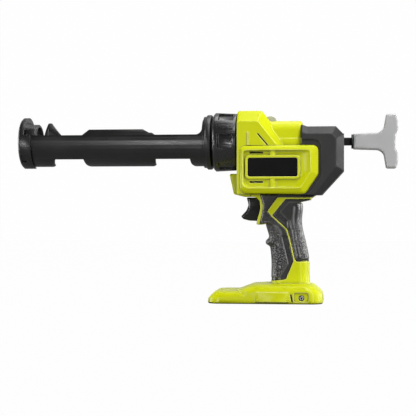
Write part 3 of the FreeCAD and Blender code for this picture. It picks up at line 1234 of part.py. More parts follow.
def boss_bores():
    """Seats cut in the bosses for the shafts, the bearings and the motor."""
    right = CLUTCH_GEAR_Y + CLUTCH_GEAR_FACE + SIDE_PLAY
    left = -PINION_HALF_FACE - SIDE_PLAY
    seat = BEARING_RADIUS + FIT
    bores = rod_y(PINION_X, PINION_Z, seat, right - LOOSE, right + BEARING_LENGTH + FIT)
    bores = bores.fuse(rod_y(PINION_X, PINION_Z, seat, left - BEARING_LENGTH - FIT, left + LOOSE))
    bores = bores.fuse(rod_y(PINION_X, PINION_Z, PINION_SHAFT_RADIUS + LOOSE, left - BEARING_LENGTH - OVERRUN,
                             right + BEARING_LENGTH + OVERRUN))
    bores = bores.fuse(rod_y(*FIRST_SPOT, GEAR_SHAFT_RADIUS + FIT, SECOND_GEAR_Y - BEARING_LENGTH, CAVITY_Y))
    bores = bores.fuse(rod_y(*SECOND_SPOT, GEAR_SHAFT_RADIUS + FIT, CLUTCH_GEAR_Y - BEARING_LENGTH, CAVITY_Y))
    return bores.fuse(rod_y(MOTOR_X, MOTOR_Z, MOTOR_RADIUS + FIT, BELL_Y, MOTOR_REAR_Y))


def screw_bosses():
    columns = [rod_y(x, z, SCREW_BOSS, -CAVITY_Y - FIT, CAVITY_Y + FIT) for x, z, _ in SCREWS]
    return columns[0].fuse(columns[1:])


def screw_holes():
    holes = []
    for x, z, seat in SCREWS:
        holes.append(rod_y(x, z, SCREW_RADIUS + FIT, seat - SCREW_LENGTH, seat + FIT))
        holes.append(rod_y(x, z, SCREW_HEAD_RADIUS + LOOSE, seat, FAR))
    return holes[0].fuse(holes[1:])


def housing_screws():
    screws = []
    for x, z, seat in SCREWS:
        screw = rod_y(x, z, SCREW_RADIUS, seat - SCREW_LENGTH, seat)
        screw = screw.fuse(rod_y(x, z, SCREW_HEAD_RADIUS, seat, seat + SCREW_HEAD_HEIGHT))
        drive = rod_y(x, z, SCREW_DRIVE_RADIUS, seat + SCREW_HEAD_HEIGHT - SCREW_DRIVE_DEPTH, FAR)
        screws.append(screw.cut(drive).removeSplitter())
    return Part.makeCompound(screws)


def foot_hollow():
    hollow = box(-FOOT_CAVITY_X, FOOT_CAVITY_X, -FOOT_CAVITY_Y, FOOT_CAVITY_Y, FOOT_FLOOR, FOOT_CAVITY_TOP)
    boss = rod_y(INSERT_X, INSERT_Z, INSERT_BOSS, -FOOT_CAVITY_Y - FIT, -INSERT_BOSS_INNER_Y)
    latch = box(-LATCH_HALF_LENGTH, LATCH_HALF_LENGTH, LATCH_INNER_Y, LATCH_OUTER_Y, -OVERRUN,
                FOOT_FLOOR + FIT)
    latch = latch.translated(Vector((SOCKET_FRONT_X + SOCKET_REAR_X) / 2, 0, 0))
    return hollow.cut(both_sides(boss)).cut(screw_bosses()).fuse(both_sides(latch))


def electric_hollow():
    """Battery socket, terminal seat, board channel and switch seat, from the foot up."""
    low = section(-OVERRUN, SOCKET_FRONT_X, SOCKET_REAR_X, SOCKET_Y, SOCKET_CORNER)
    socket = Part.Face(low).extrude(Vector(0, 0, SOCKET_TOP_Z + OVERRUN))
    block_top = SOCKET_TOP_Z + BLOCK_HEIGHT
    seat = box(SOCKET_FRONT_X, SOCKET_REAR_X, -SOCKET_Y, SOCKET_Y, SOCKET_TOP_Z - FIT, block_top)
    channel = box(BOARD_FRONT_X, BOARD_REAR_X, -CHANNEL_Y, CHANNEL_Y, block_top - FIT, SWITCH_LOW_Z + FIT)
    switch_front = SWITCH_FRONT_X - TRIGGER_TRAVEL - EASY
    switch = box(switch_front, SWITCH_REAR_X, -SWITCH_Y, SWITCH_Y, SWITCH_LOW_Z, SWITCH_HIGH_Z)
    slot = box(NECK_OUTLINE[0][0] - OVERRUN, SWITCH_FRONT_X, -TRIGGER_Y - LOOSE, TRIGGER_Y + LOOSE,
               TRIGGER_SLOT_LOW_Z, TRIGGER_SLOT_HIGH_Z)
    return socket.fuse([seat, channel, switch, slot])


def dial_hollow():
    wheel = rod_y(DIAL_X, DIAL_Z, DIAL_POCKET, -DIAL_HALF_WIDTH - LOOSE, DIAL_HALF_WIDTH + LOOSE)
    seat = box(DIAL_X - POT_HALF, DIAL_X + POT_HALF, DIAL_HALF_WIDTH, DIAL_HALF_WIDTH + EASY + POT_THICK,
               DIAL_Z - POT_HALF - POT_HALF, DIAL_Z - POT_EDGE)
    axle = rod_y(DIAL_X, DIAL_Z, DIAL_BORE, -DIAL_HALF_WIDTH - POT_THICK, DIAL_HALF_WIDTH + EASY)
    return wheel.fuse([seat, axle])


def vents():
    slots = []
    for low in (VENT_HIGH_Z, VENT_LOW_Z):
        slots.append(box(VENT_FRONT_X, VENT_FRONT_X + VENT_LENGTH, -FAR, OVERRUN - CAVITY_Y, low,
                         low + VENT_HEIGHT))
    return both_sides(slots[0].fuse(slots[1]))


def insert_holes():
    side = LEDGE_SECTIONS[1][3] - FOOT_RECESS_DEPTH
    hole = rod_y(INSERT_X, INSERT_Z, INSERT_RADIUS + FIT, -side - OVERRUN, INSERT_LENGTH - side)
    ring = rod_y(INSERT_X, INSERT_Z, RING_RADIUS + FIT, -side - OVERRUN, RING_THICK - side)
    return both_sides(hole.fuse(ring))


def housing():
    """Whole housing before it is parted into halves, with its grips as separate solids."""
    neck = neck_block()
    outer = handle_block(0).fuse(stack(RIDGE_SECTIONS, False))
    shells = neck.fuse(outer)
    slab_y = NECK_Y - GRIP_THICK
    slab = neck.cut(box(-FAR, FAR, -slab_y, slab_y, -FAR, FAR))
    body = front_block().fuse([deck_block(), frame_block(), rear_block(BOOT_THICK), body_chin()])
    channel = prism(frame_outline(CHANNEL_WIDTH, CHANNEL_RISE), -FAR, CHANNEL_DEPTH - BOOT_SIDE_Y)
    boot = rear_block(0).cut(body).cut(both_sides(channel))
    skin = outer.cut(handle_block(GRIP_THICK)).fuse(slab).cut(body).cut(foot_block())
    hollow = main_cavity().cut(cavity_bosses()).cut(screw_bosses()).fuse(boss_bores())
    hollow = hollow.fuse(rod_x(NOSE_POCKET_RADIUS, CAVITY_FRONT_X, HUB_REAR_X + LOOSE))
    hollow = hollow.fuse([foot_hollow(), electric_hollow(), dial_hollow(), vents()])
    hollow = hollow.fuse([screw_holes(), insert_holes()])
    hollow = hollow.fuse(rod_x(SLEEVE_OUTER + FIT, BODY_FRONT_X - OVERRUN, CAVITY_FRONT_X + FIT))
    hollow = hollow.fuse(rod_x(GUIDE_RADIUS + FIT, CAVITY_REAR_X - FIT, FAR))
    hollow = hollow.fuse(both_sides(side_plate()))
    top_skin = outer.cut(handle_block(GRIP_STEP)).cut(neck)
    front_grip = skin.common(prism(FRONT_GRIP_OUTLINE, -FAR, FAR)).cut(hollow).cut(boot)
    front_border = top_skin.cut(prism(FRONT_PAD_OUTLINE, -FAR, FAR))
    rear_grip = skin.common(prism(REAR_GRIP_OUTLINE, -FAR, FAR)).cut(hollow).cut(boot)
    rear_border = top_skin.cut(prism(REAR_PAD_OUTLINE, -FAR, FAR))
    solid = body.fuse([shells, foot_block()]).cut(boot).cut(front_grip).cut(rear_grip).cut(hollow)
    return solid.removeSplitter(), boot.cut(hollow), front_grip.cut(front_border), rear_grip.cut(rear_border)


# Small fixed pieces
def insert_pair():
    side = LEDGE_SECTIONS[1][3] - FOOT_RECESS_DEPTH
    insert = rod_y(INSERT_X, INSERT_Z, INSERT_RADIUS, -side, INSERT_LENGTH - side)
    insert = insert.cut(rod_y(INSERT_X, INSERT_Z, INSERT_BORE, -FAR, 0))
    ring = rod_y(INSERT_X, INSERT_Z, RING_RADIUS, -side, RING_THICK - side)
    ring = ring.cut(rod_y(INSERT_X, INSERT_Z, INSERT_RADIUS + FIT, -FAR, 0))
    return both_sides(insert), both_sides(ring)


def terminal_block():
    block = box(SOCKET_FRONT_X + FIT, SOCKET_REAR_X - FIT, -SOCKET_Y + FIT, SOCKET_Y - FIT, SOCKET_TOP_Z,
                SOCKET_TOP_Z + BLOCK_HEIGHT)
    front = contact_front() - FIT
    rear = contact_front() + CONTACT_WIDTH + FIT
    half = CONTACT_THICK / 2 + FIT
    for y in CONTACT_Y:
        block = block.cut(box(front, rear, y - half, y + half, -FAR, FAR))
    return block


def contact_front():
    return (SOCKET_FRONT_X + SOCKET_REAR_X - CONTACT_WIDTH) / 2


def battery_contacts():
    half = CONTACT_THICK / 2
    front = contact_front()
    low = SOCKET_TOP_Z - CONTACT_DROP
    high = SOCKET_TOP_Z + BLOCK_HEIGHT
    blades = [box(front, front + CONTACT_WIDTH, y - half, y + half, low, high) for y in CONTACT_Y]
    return Part.makeCompound(blades)


def control_board():
    low = SOCKET_TOP_Z + BLOCK_HEIGHT
    board = box(BOARD_FRONT_X + FIT, BOARD_REAR_X - FIT, -BOARD_HALF_THICK, BOARD_HALF_THICK, low,
                BOARD_TOP_Z)
    top = BOARD_HALF_THICK + BOARD_PART_HEIGHT
    for x, z, half in BOARD_PARTS:
        board = board.fuse(box(x - half / 2, x + half / 2, BOARD_HALF_THICK, top, z - half, z + half))
    return board.removeSplitter()


def trigger_switch():
    body = box(SWITCH_FRONT_X, SWITCH_REAR_X - FIT, -SWITCH_Y + FIT, SWITCH_Y - FIT, SWITCH_LOW_Z,
               SWITCH_HIGH_Z)
    body = softened(body, SWITCH_EDGE, lambda edge: edge.BoundBox.YLength > SWITCH_Y)
    depth = TRIGGER_STEM_END_X + TRIGGER_TRAVEL + EASY - SWITCH_FRONT_X
    stem = Part.makeCylinder(TRIGGER_STEM + RUNNING_FIT, depth, Vector(SWITCH_FRONT_X, 0, TRIGGER_STEM_Z),
                             Vector(1, 0, 0))
    return body.cut(stem)


def trigger():
    pull = prism(TRIGGER_OUTLINE, -TRIGGER_Y, TRIGGER_Y)
    pull = softened(pull, TRIGGER_EDGE, front_side_edges)
    rear = TRIGGER_OUTLINE[-1][0]
    stem = Part.makeCylinder(TRIGGER_STEM, TRIGGER_STEM_END_X - rear + TRIGGER_EDGE,
                             Vector(rear - TRIGGER_EDGE, 0, TRIGGER_STEM_Z), Vector(1, 0, 0))
    return pull.fuse(stem).removeSplitter()


def front_side_edges(edge):
    return at_sides(TRIGGER_Y)(edge) and edge.BoundBox.XMax < NECK_OUTLINE[0][0]


def speed_dial():
    dial = rod_y(DIAL_X, DIAL_Z, DIAL_RADIUS, -DIAL_HALF_WIDTH, DIAL_HALF_WIDTH)
    dial = dial.makeChamfer(DIAL_EDGE, [edge for edge in dial.Edges if at_sides(DIAL_HALF_WIDTH)(edge)])
    for index in range(DIAL_RIDGES):
        turn = 2 * math.pi * index / DIAL_RIDGES
        x = DIAL_X + DIAL_RADIUS * math.cos(turn)
        z = DIAL_Z + DIAL_RADIUS * math.sin(turn)
        dial = dial.cut(rod_y(x, z, DIAL_RIDGE_RADIUS, -FAR, FAR))
    stub = DIAL_HALF_WIDTH + POT_THICK - LOOSE
    axle = rod_y(DIAL_X, DIAL_Z, DIAL_BORE - RUNNING_FIT, -stub, DIAL_HALF_WIDTH + LOOSE)
    return dial.fuse(axle).removeSplitter()


def dial_potentiometer():
    low = DIAL_Z - POT_HALF - POT_HALF
    near = DIAL_HALF_WIDTH + EASY
    body = box(DIAL_X - POT_HALF + FIT, DIAL_X + POT_HALF - FIT, near, near + POT_THICK, low,
               DIAL_Z - POT_EDGE - FIT)
    return body.makeChamfer(POT_EDGE, [edge for edge in body.Edges if edge.BoundBox.YLength > FIT
                                       and edge.BoundBox.ZMax < low + FIT])


def save(name, shape):
    shape.exportStep("parts/" + name + ".step")


os.makedirs("parts", exist_ok=True)

SINGLE_PIECES = [
    carriage_shell, front_cap, carriage_seal, snap_ring, lock_collar, nose_sleeve, push_rod, plunger_disc,
    plunger_screw, pull_handle, handle_washer, handle_pin, rod_guide_front, rod_guide_rear, pinion_shaft,
    clutch_disc, clutch_gear, second_gear, first_gear, first_gear_shaft, second_gear_shaft, pinion_bearings,
    motor_pinion, reduction_head, motor_can, motor_end_bell, backing_roller, roller_pin, housing_screws,
    terminal_block, battery_contacts, control_board, trigger_switch, trigger, speed_dial, dial_potentiometer,
]
for make in SINGLE_PIECES:
    save(make.__name__, make())

shell, boot, front_grip, rear_grip = housing()
left_room = left_zone()
SPLIT_PIECES = [("housing", shell), ("rear_boot", boot), ("grip_front", front_grip), ("grip_rear", rear_grip)]
for name, whole in SPLIT_PIECES:
    save(name + "_left", whole.common(left_room))
    save(name + "_right", whole.cut(left_room))
plate = side_plate()
save("side_plate_left", plate)
save("side_plate_right", plate.mirror(Vector(0, 0, 0), Vector(0, 1, 0)))
inserts, rings = insert_pair()
save("accessory_inserts", inserts)
save("insert_rings", rings)
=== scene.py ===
import json
import math

import bmesh
import bpy
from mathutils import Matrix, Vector


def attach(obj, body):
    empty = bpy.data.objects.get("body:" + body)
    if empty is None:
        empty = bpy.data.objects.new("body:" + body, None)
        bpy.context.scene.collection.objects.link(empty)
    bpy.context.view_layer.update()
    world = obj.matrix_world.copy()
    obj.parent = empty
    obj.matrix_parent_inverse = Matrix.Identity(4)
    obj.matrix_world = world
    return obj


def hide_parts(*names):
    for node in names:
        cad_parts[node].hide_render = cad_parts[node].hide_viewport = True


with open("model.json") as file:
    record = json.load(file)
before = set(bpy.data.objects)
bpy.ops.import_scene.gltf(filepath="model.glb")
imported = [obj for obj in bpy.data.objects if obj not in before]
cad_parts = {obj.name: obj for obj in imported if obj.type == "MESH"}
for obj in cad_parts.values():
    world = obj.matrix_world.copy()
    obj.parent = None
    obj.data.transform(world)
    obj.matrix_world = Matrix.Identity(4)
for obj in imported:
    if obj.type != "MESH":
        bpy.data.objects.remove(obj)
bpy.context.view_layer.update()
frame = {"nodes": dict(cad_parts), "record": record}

nodes = frame["nodes"]
scene = bpy.context.scene
bpy.ops.object.select_all(action="DESELECT")

WHITE = (1.0, 1.0, 1.0, 1.0)
QUARTER_TURN = math.pi / 2
# Sockets of a colour mix node: its two colours, and its result
MIX_COLOURS = (6, 7)
MIX_RESULT = 2


# Shader nodes
def node(tree, kind, values=(), **settings):
    """Node with its settings, and its unlinked sockets set by name or number."""
    made = tree.nodes.new(kind)
    for key, value in settings.items():
        setattr(made, key, value)
    for key, value in values:
        made.inputs[key].default_value = value
    return made


def ramp(tree, source, low, high):
    """Source stretched so that low gives zero and high gives one."""
    made = node(tree, "ShaderNodeMapRange", [("From Min", low), ("From Max", high)])
    tree.links.new(source, made.inputs["Value"])
    return made.outputs[0]


def sums(tree, operation, first, second):
    """Math node on two values, each a socket or a number."""
    made = node(tree, "ShaderNodeMath", operation=operation)
    for place, value in enumerate((first, second)):
        if isinstance(value, (int, float)):
            made.inputs[place].default_value = value
        else:
            tree.links.new(value, made.inputs[place])
    return made.outputs[0]


def blend(tree, factor, first, second):
    """Colour mix by a mask; each colour is a socket or three numbers."""
    made = node(tree, "ShaderNodeMix", data_type="RGBA")
    tree.links.new(factor, made.inputs[0])
    for place, colour in zip(MIX_COLOURS, (first, second)):
        if isinstance(colour, tuple):
            made.inputs[place].default_value = (*colour, 1.0)
        else:
            tree.links.new(colour, made.inputs[place])
    return made.outputs[MIX_RESULT]


def bumped(tree, height, strength, distance, under):
    """Normal of a fine height laid over another normal."""
    made = node(tree, "ShaderNodeBump", [("Strength", strength), ("Distance", distance)])
    tree.links.new(height, made.inputs["Height"])
    tree.links.new(under, made.inputs["Normal"])
    return made.outputs["Normal"]


# Studio: places and sizes in metres
CAMERA_PLACE = (0.0909, -1.4069, 0.110)
CAMERA_YAW = math.radians(6.5)
CAMERA_LENS = 103.8
CAMERA_SENSOR = 36.0
CAMERA_REACH = 50.0
PAPER_SIZE = 12.0
WALL_PLACE = 2.6
WORLD_LIGHT = 0.07
# Soft boxes: name, place, target, width, height and power in watts
LAMPS = [
    ("top_softbox", (0.15, 0.25, 1.45), (0.0, 0.0, 0.15), 0.9, 1.1, 12.0),
    ("key_softbox", (0.70, -0.90, 1.65), (0.0, 0.0, 0.14), 0.9, 0.9, 25.0),
    ("front_softbox", (-0.72, -1.50, 0.12), (-0.15, 0.0, 0.17), 0.50, 0.22, 7.0),
    ("right_front_softbox", (0.80, -1.28, 0.35), (0.04, 0.0, 0.12), 0.24, 0.9, 6.5),
    ("right_softbox", (1.50, 0.05, 0.25), (0.05, 0.0, 0.14), 0.5, 1.0, 15.0),
    ("right_rim_softbox", (1.05, 0.95, 0.30), (0.05, 0.0, 0.14), 0.4, 0.8, 6.0),
    ("left_softbox", (-1.50, 0.15, 0.20), (0.0, 0.0, 0.12), 0.6, 0.9, 16.0),
]


def studio_lamp(name, place, target, width, height, power):
    """Soft box at a place, turned to its target."""
    bpy.ops.object.light_add(type="AREA", location=place)
    lamp = bpy.context.object
    lamp.name = name
    aim = Vector(target) - Vector(place)
    lamp.rotation_euler = aim.to_track_quat("-Z", "Y").to_euler()
    lamp.data.shape = "RECTANGLE"
    lamp.data.size = width
    lamp.data.size_y = height
    lamp.data.energy = power


def studio_camera():
    """Long lens, level, right of the middle and turned a little to the left."""
    bpy.ops.object.camera_add(location=CAMERA_PLACE, rotation=(QUARTER_TURN, 0, CAMERA_YAW))
    camera = bpy.context.object
    camera.name = "studio_camera"
    camera.data.lens = CAMERA_LENS
    camera.data.sensor_width = CAMERA_SENSOR
    camera.data.clip_end = CAMERA_REACH
    scene.camera = camera


def glowing_paper(name, colour, camera_share, gloss_share):
    """Paper that looks white to the camera and pale in reflections, and is lit like any paper otherwise."""
    material = bpy.data.materials.new(name)
    material.use_nodes = True
    tree = material.node_tree
    tree.nodes.clear()
    out = node(tree, "ShaderNodeOutputMaterial")
    paper = node(tree, "ShaderNodeBsdfDiffuse", [("Color", (colour, colour, colour, 1.0))])
    glow = node(tree, "ShaderNodeEmission")
    path = node(tree, "ShaderNodeLightPath")
    to_camera = sums(tree, "MULTIPLY", path.outputs["Is Camera Ray"], camera_share)
    to_gloss = sums(tree, "MULTIPLY", path.outputs["Is Glossy Ray"], gloss_share)
    mix = node(tree, "ShaderNodeMixShader")
    tree.links.new(sums(tree, "MAXIMUM", to_camera, to_gloss), mix.inputs["Fac"])
    tree.links.new(paper.outputs[0], mix.inputs[1])
    tree.links.new(glow.outputs[0], mix.inputs[2])
    tree.links.new(mix.outputs[0], out.inputs["Surface"])
    return material


def studio_world():
    """Weak light from all round, and white where the camera looks past the paper."""
    world = bpy.data.worlds.new("studio_world")
    scene.world = world
    world.use_nodes = True
    tree = world.node_tree
    tree.nodes.clear()
    out = node(tree, "ShaderNodeOutputWorld")
    light = node(tree, "ShaderNodeBackground", [("Color", WHITE), ("Strength", WORLD_LIGHT)])
    shown = node(tree, "ShaderNodeBackground", [("Color", WHITE), ("Strength", 1.0)])
    path = node(tree, "ShaderNodeLightPath")
    mix = node(tree, "ShaderNodeMixShader")
    tree.links.new(path.outputs["Is Camera Ray"], mix.inputs["Fac"])
    tree.links.new(light.outputs[0], mix.inputs[1])
    tree.links.new(shown.outputs[0], mix.inputs[2])
    tree.links.new(mix.outputs[0], out.inputs["Surface"])


def studio_paper():
    """Floor that keeps the shadow, and a white wall far behind the object."""
    bpy.ops.mesh.primitive_plane_add(size=PAPER_SIZE, location=(0, 0, 0))
    floor = bpy.context.object
    floor.name = "studio_floor"
    floor_paper = glowing_paper("floor_paper", colour=0.16, camera_share=0.985, gloss_share=0.12)
    floor.data.materials.append(floor_paper)
    bpy.ops.mesh.primitive_plane_add(size=PAPER_SIZE, location=(0, WALL_PLACE, 0),
                                     rotation=(QUARTER_TURN, 0, 0))
    wall = bpy.context.object
    wall.name = "studio_wall"
    wall_paper = glowing_paper("wall_paper", colour=0.60, camera_share=0.99, gloss_share=0.5)
    wall.data.materials.append(wall_paper)


# Shared surface effects
def effect(name, inputs, outputs):
    """Empty shader node group with named sockets, and its two end nodes."""
    tree = bpy.data.node_groups.new(name, "ShaderNodeTree")
    for label, value in inputs:
        socket = tree.interface.new_socket(label, in_out="INPUT", socket_type="NodeSocketFloat")
        socket.default_value = value
    for label in outputs:
        kind = "NodeSocketVector" if label.endswith("Normal") else "NodeSocketFloat"
        tree.interface.new_socket(label, in_out="OUTPUT", socket_type=kind)
    return tree, tree.nodes.new("NodeGroupInput"), tree.nodes.new("NodeGroupOutput")


def moulded_grain():
    """Spark-eroded skin of a moulding: a fine height and a slow mottle."""
    tree, start, stop = effect("moulded_grain", [("Scale", 1400.0)], ["Height", "Mottle"])
    place = node(tree, "ShaderNodeTexCoord")
    fine = node(tree, "ShaderNodeTexNoise", [("Detail", 3.0), ("Roughness", 0.62)])
    tree.links.new(place.outputs["Object"], fine.inputs["Vector"])
    tree.links.new(start.outputs["Scale"], fine.inputs["Scale"])
    slow = node(tree, "ShaderNodeTexNoise", [("Scale", 34.0), ("Detail", 4.0), ("Roughness", 0.6)])
    tree.links.new(place.outputs["Object"], slow.inputs["Vector"])
    tree.links.new(ramp(tree, fine.outputs["Fac"], low=0.28, high=0.72), stop.inputs["Height"])
    tree.links.new(ramp(tree, slow.outputs["Fac"], low=0.3, high=0.7), stop.inputs["Mottle"])
    return tree


def edge_wear_and_highlight():
    """Mask of edges and corners, broken up by noise, where hands and benches polish them; mouldings also
    lighten there as a painted highlight.
    """
    tree, start, stop = effect("edge_wear_and_highlight", [("Radius", 0.0012), ("Gain", 6.0)], ["Mask", "Soft Normal"])
    soft = node(tree, "ShaderNodeBevel", samples=8)
    tree.links.new(start.outputs["Radius"], soft.inputs["Radius"])
    here = node(tree, "ShaderNodeNewGeometry")
    dot = node(tree, "ShaderNodeVectorMath", operation="DOT_PRODUCT")
    tree.links.new(soft.outputs["Normal"], dot.inputs[0])
    tree.links.new(here.outputs["Normal"], dot.inputs[1])
    bent = sums(tree, "SUBTRACT", 1.0, dot.outputs["Value"])
    gained = sums(tree, "MULTIPLY", bent, start.outputs["Gain"])
    place = node(tree, "ShaderNodeTexCoord")
    patches = node(tree, "ShaderNodeTexNoise", [("Scale", 120.0), ("Detail", 4.0), ("Roughness", 0.6)])
    tree.links.new(place.outputs["Object"], patches.inputs["Vector"])
    broken = ramp(tree, patches.outputs["Fac"], low=0.10, high=0.60)
    mask = node(tree, "ShaderNodeClamp")
    tree.links.new(sums(tree, "MULTIPLY", gained, broken), mask.inputs["Value"])
    tree.links.new(mask.outputs[0], stop.inputs["Mask"])
    tree.links.new(soft.outputs["Normal"], stop.inputs["Soft Normal"])
    return tree


def painted_crevice_shade():
    """Mask of painted shade in slits, channels and inner corners: the more closed in a point is, the darker
    it is painted.
    """
    tree, start, stop = effect("painted_crevice_shade", [("Reach", 0.008)], ["Mask"])
    shut = node(tree, "ShaderNodeAmbientOcclusion", samples=8)
    tree.links.new(start.outputs["Reach"], shut.inputs["Distance"])
    tree.links.new(ramp(tree, shut.outputs["AO"], low=0.80, high=0.25), stop.inputs["Mask"])
    return tree


def handling_marks():
    """Slow smudges and fine drawn scuffs, for roughness."""
    tree, start, stop = effect("handling_marks", [("Smudge Scale", 26.0)], ["Smudge", "Scuff"])
    place = node(tree, "ShaderNodeTexCoord")
    smudge = node(tree, "ShaderNodeTexNoise", [("Detail", 3.0), ("Distortion", 0.8)])
    tree.links.new(place.outputs["Object"], smudge.inputs["Vector"])
    tree.links.new(start.outputs["Smudge Scale"], smudge.inputs["Scale"])
    drawn = node(tree, "ShaderNodeMapping", [("Scale", (40.0, 900.0, 420.0)), ("Rotation", (0.3, 0.5, 0.9))])
    tree.links.new(place.outputs["Object"], drawn.inputs["Vector"])
    lines = node(tree, "ShaderNodeTexNoise", [("Scale", 1.0), ("Detail", 2.0)])
    tree.links.new(drawn.outputs["Vector"], lines.inputs["Vector"])
    tree.links.new(ramp(tree, smudge.outputs["Fac"], low=0.35, high=0.68), stop.inputs["Smudge"])
    tree.links.new(ramp(tree, lines.outputs["Fac"], low=0.60, high=0.70), stop.inputs["Scuff"])
    return tree


def grip_stipple():
    """Close raised dots, as on a rubber grip."""
    tree, start, stop = effect("grip_stipple", [("Pitch Scale", 540.0)], ["Height"])
    place = node(tree, "ShaderNodeTexCoord")
    dots = node(tree, "ShaderNodeTexVoronoi", [("Randomness", 0.75)])
    tree.links.new(place.outputs["Object"], dots.inputs["Vector"])
    tree.links.new(start.outputs["Pitch Scale"], dots.inputs["Scale"])
    tree.links.new(ramp(tree, dots.outputs["Distance"], low=0.62, high=0.2), stop.inputs["Height"])
    return tree


# Borders of the grip pads in the side view, inside on the left of each run, and the painted highlight line
# round them
FRONT_PAD = [(-0.024, 0.0298), (0.0164, 0.0298), (0.0258, 0.045), (0.0184, 0.076), (0.0146, 0.087),
             (0.004, 0.0942), (-0.024, 0.095)]
REAR_PAD_HIGH = [(0.060, 0.1168), (0.027, 0.1168), (0.0167, 0.1053), (0.0274, 0.0948), (0.060, 0.0948)]
REAR_PAD_LOW = [(0.060, 0.0960), (0.0270, 0.0960), (0.0310, 0.084), (0.0370, 0.0516), (0.060, 0.0510)]
PAD_HIGHLIGHT_REACH = 0.0009
PAD_HIGHLIGHT_CORE = 0.0002


def grip_pads():
    """Mask of the stippled pads, and a painted highlight line round all pads, from their borders in the side
    view.
    """
    tree, start, stop = effect("grip_pads", [("Softness", 0.0004)], ["Mask", "Rim Highlight"])
    place = node(tree, "ShaderNodeTexCoord")
    split = node(tree, "ShaderNodeSeparateXYZ")
    tree.links.new(place.outputs["Object"], split.inputs[0])

    def beside(first, second):
        """Distance to the left of the line that runs from first to second, in the side view."""
        run = Vector((second[0] - first[0], second[1] - first[1])).normalized()
        across = sums(tree, "MULTIPLY", sums(tree, "SUBTRACT", split.outputs["X"], first[0]), -run[1])
        upward = sums(tree, "MULTIPLY", sums(tree, "SUBTRACT", split.outputs["Z"], first[1]), run[0])
        return sums(tree, "ADD", across, upward)

    def inside(points):
        """Least distance inside a pad's borders."""
        least = beside(*points[:2])
        for pair in zip(points[1:], points[2:]):
            least = sums(tree, "MINIMUM", least, beside(*pair))
        return least

    stippled = sums(tree, "MAXIMUM", inside(FRONT_PAD), inside(REAR_PAD_LOW))
    edge = sums(tree, "DIVIDE", stippled, start.outputs["Softness"])
    tree.links.new(ramp(tree, edge, low=0.0, high=1.0), stop.inputs["Mask"])
    away = sums(tree, "ABSOLUTE", sums(tree, "MAXIMUM", stippled, inside(REAR_PAD_HIGH)), 0.0)
    tree.links.new(ramp(tree, away, low=PAD_HIGHLIGHT_REACH, high=PAD_HIGHLIGHT_CORE), stop.inputs["Rim Highlight"])
    return tree


def drawn_metal():
    """Fine lines along the tool, as drawing or grinding leaves them."""
    tree, start, stop = effect("drawn_metal", [("Line Scale", 2600.0)], ["Height", "Tone"])
    place = node(tree, "ShaderNodeTexCoord")
    along = node(tree, "ShaderNodeMapping", [("Scale", (0.02, 1.0, 1.0))])
    tree.links.new(place.outputs["Object"], along.inputs["Vector"])
    lines = node(tree, "ShaderNodeTexNoise", [("Detail", 2.0)])
    tree.links.new(along.outputs["Vector"], lines.inputs["Vector"])
    tree.links.new(start.outputs["Line Scale"], lines.inputs["Scale"])
    slow = node(tree, "ShaderNodeTexNoise", [("Scale", 60.0), ("Detail", 4.0)])
    tree.links.new(place.outputs["Object"], slow.inputs["Vector"])
    tree.links.new(lines.outputs["Fac"], stop.inputs["Height"])
    tree.links.new(ramp(tree, slow.outputs["Fac"], low=0.3, high=0.7), stop.inputs["Tone"])
    return tree


EFFECTS = {
    "grain": moulded_grain(), "wear_and_highlight": edge_wear_and_highlight(), "painted_crevice_shade": painted_crevice_shade(), "marks": handling_marks(),
    "stipple": grip_stipple(), "pads": grip_pads(), "drawn": drawn_metal(),
}


def placed(tree, name, **values):
    """Shared effect placed in a material, with its own values."""
    made = tree.nodes.new("ShaderNodeGroup")
    made.node_tree = EFFECTS[name]
    for label, value in values.items():
        made.inputs[label.replace("_", " ")].default_value = value
    return made


# Finishes: shares and depths that all mouldings or all metals have alike
# Reach of the painted shade in crevices, and the share of the deep colour that it darkens to
CREVICE_REACH = 0.008
CREVICE_SHADE = 0.12
SCUFF_SHARE = 0.4
SKIN_DEPTH = 0.0002
# Colour of the painted highlight line round the grip pads
PAD_HIGHLIGHT_COLOUR = (0.060, 0.059, 0.057)
DOT_STRENGTH = 0.65
DOT_HEIGHT = 0.00045
METAL_RUB_GAIN = 5.0
METAL_EDGE_GAIN = 1.35
METAL_EDGE_LIFT = 0.02
METAL_ROUGH_SPAN = 0.08
METAL_LINE_STRENGTH = 0.12


def grey(level):
    """Neutral colour of one level."""
    return (level, level, level)


def finish_base(name):
    """New material with its tree and its shader."""
    material = bpy.data.materials.new(name)
    material.use_nodes = True
    tree = material.node_tree
    return material, tree, tree.nodes["Principled BSDF"]


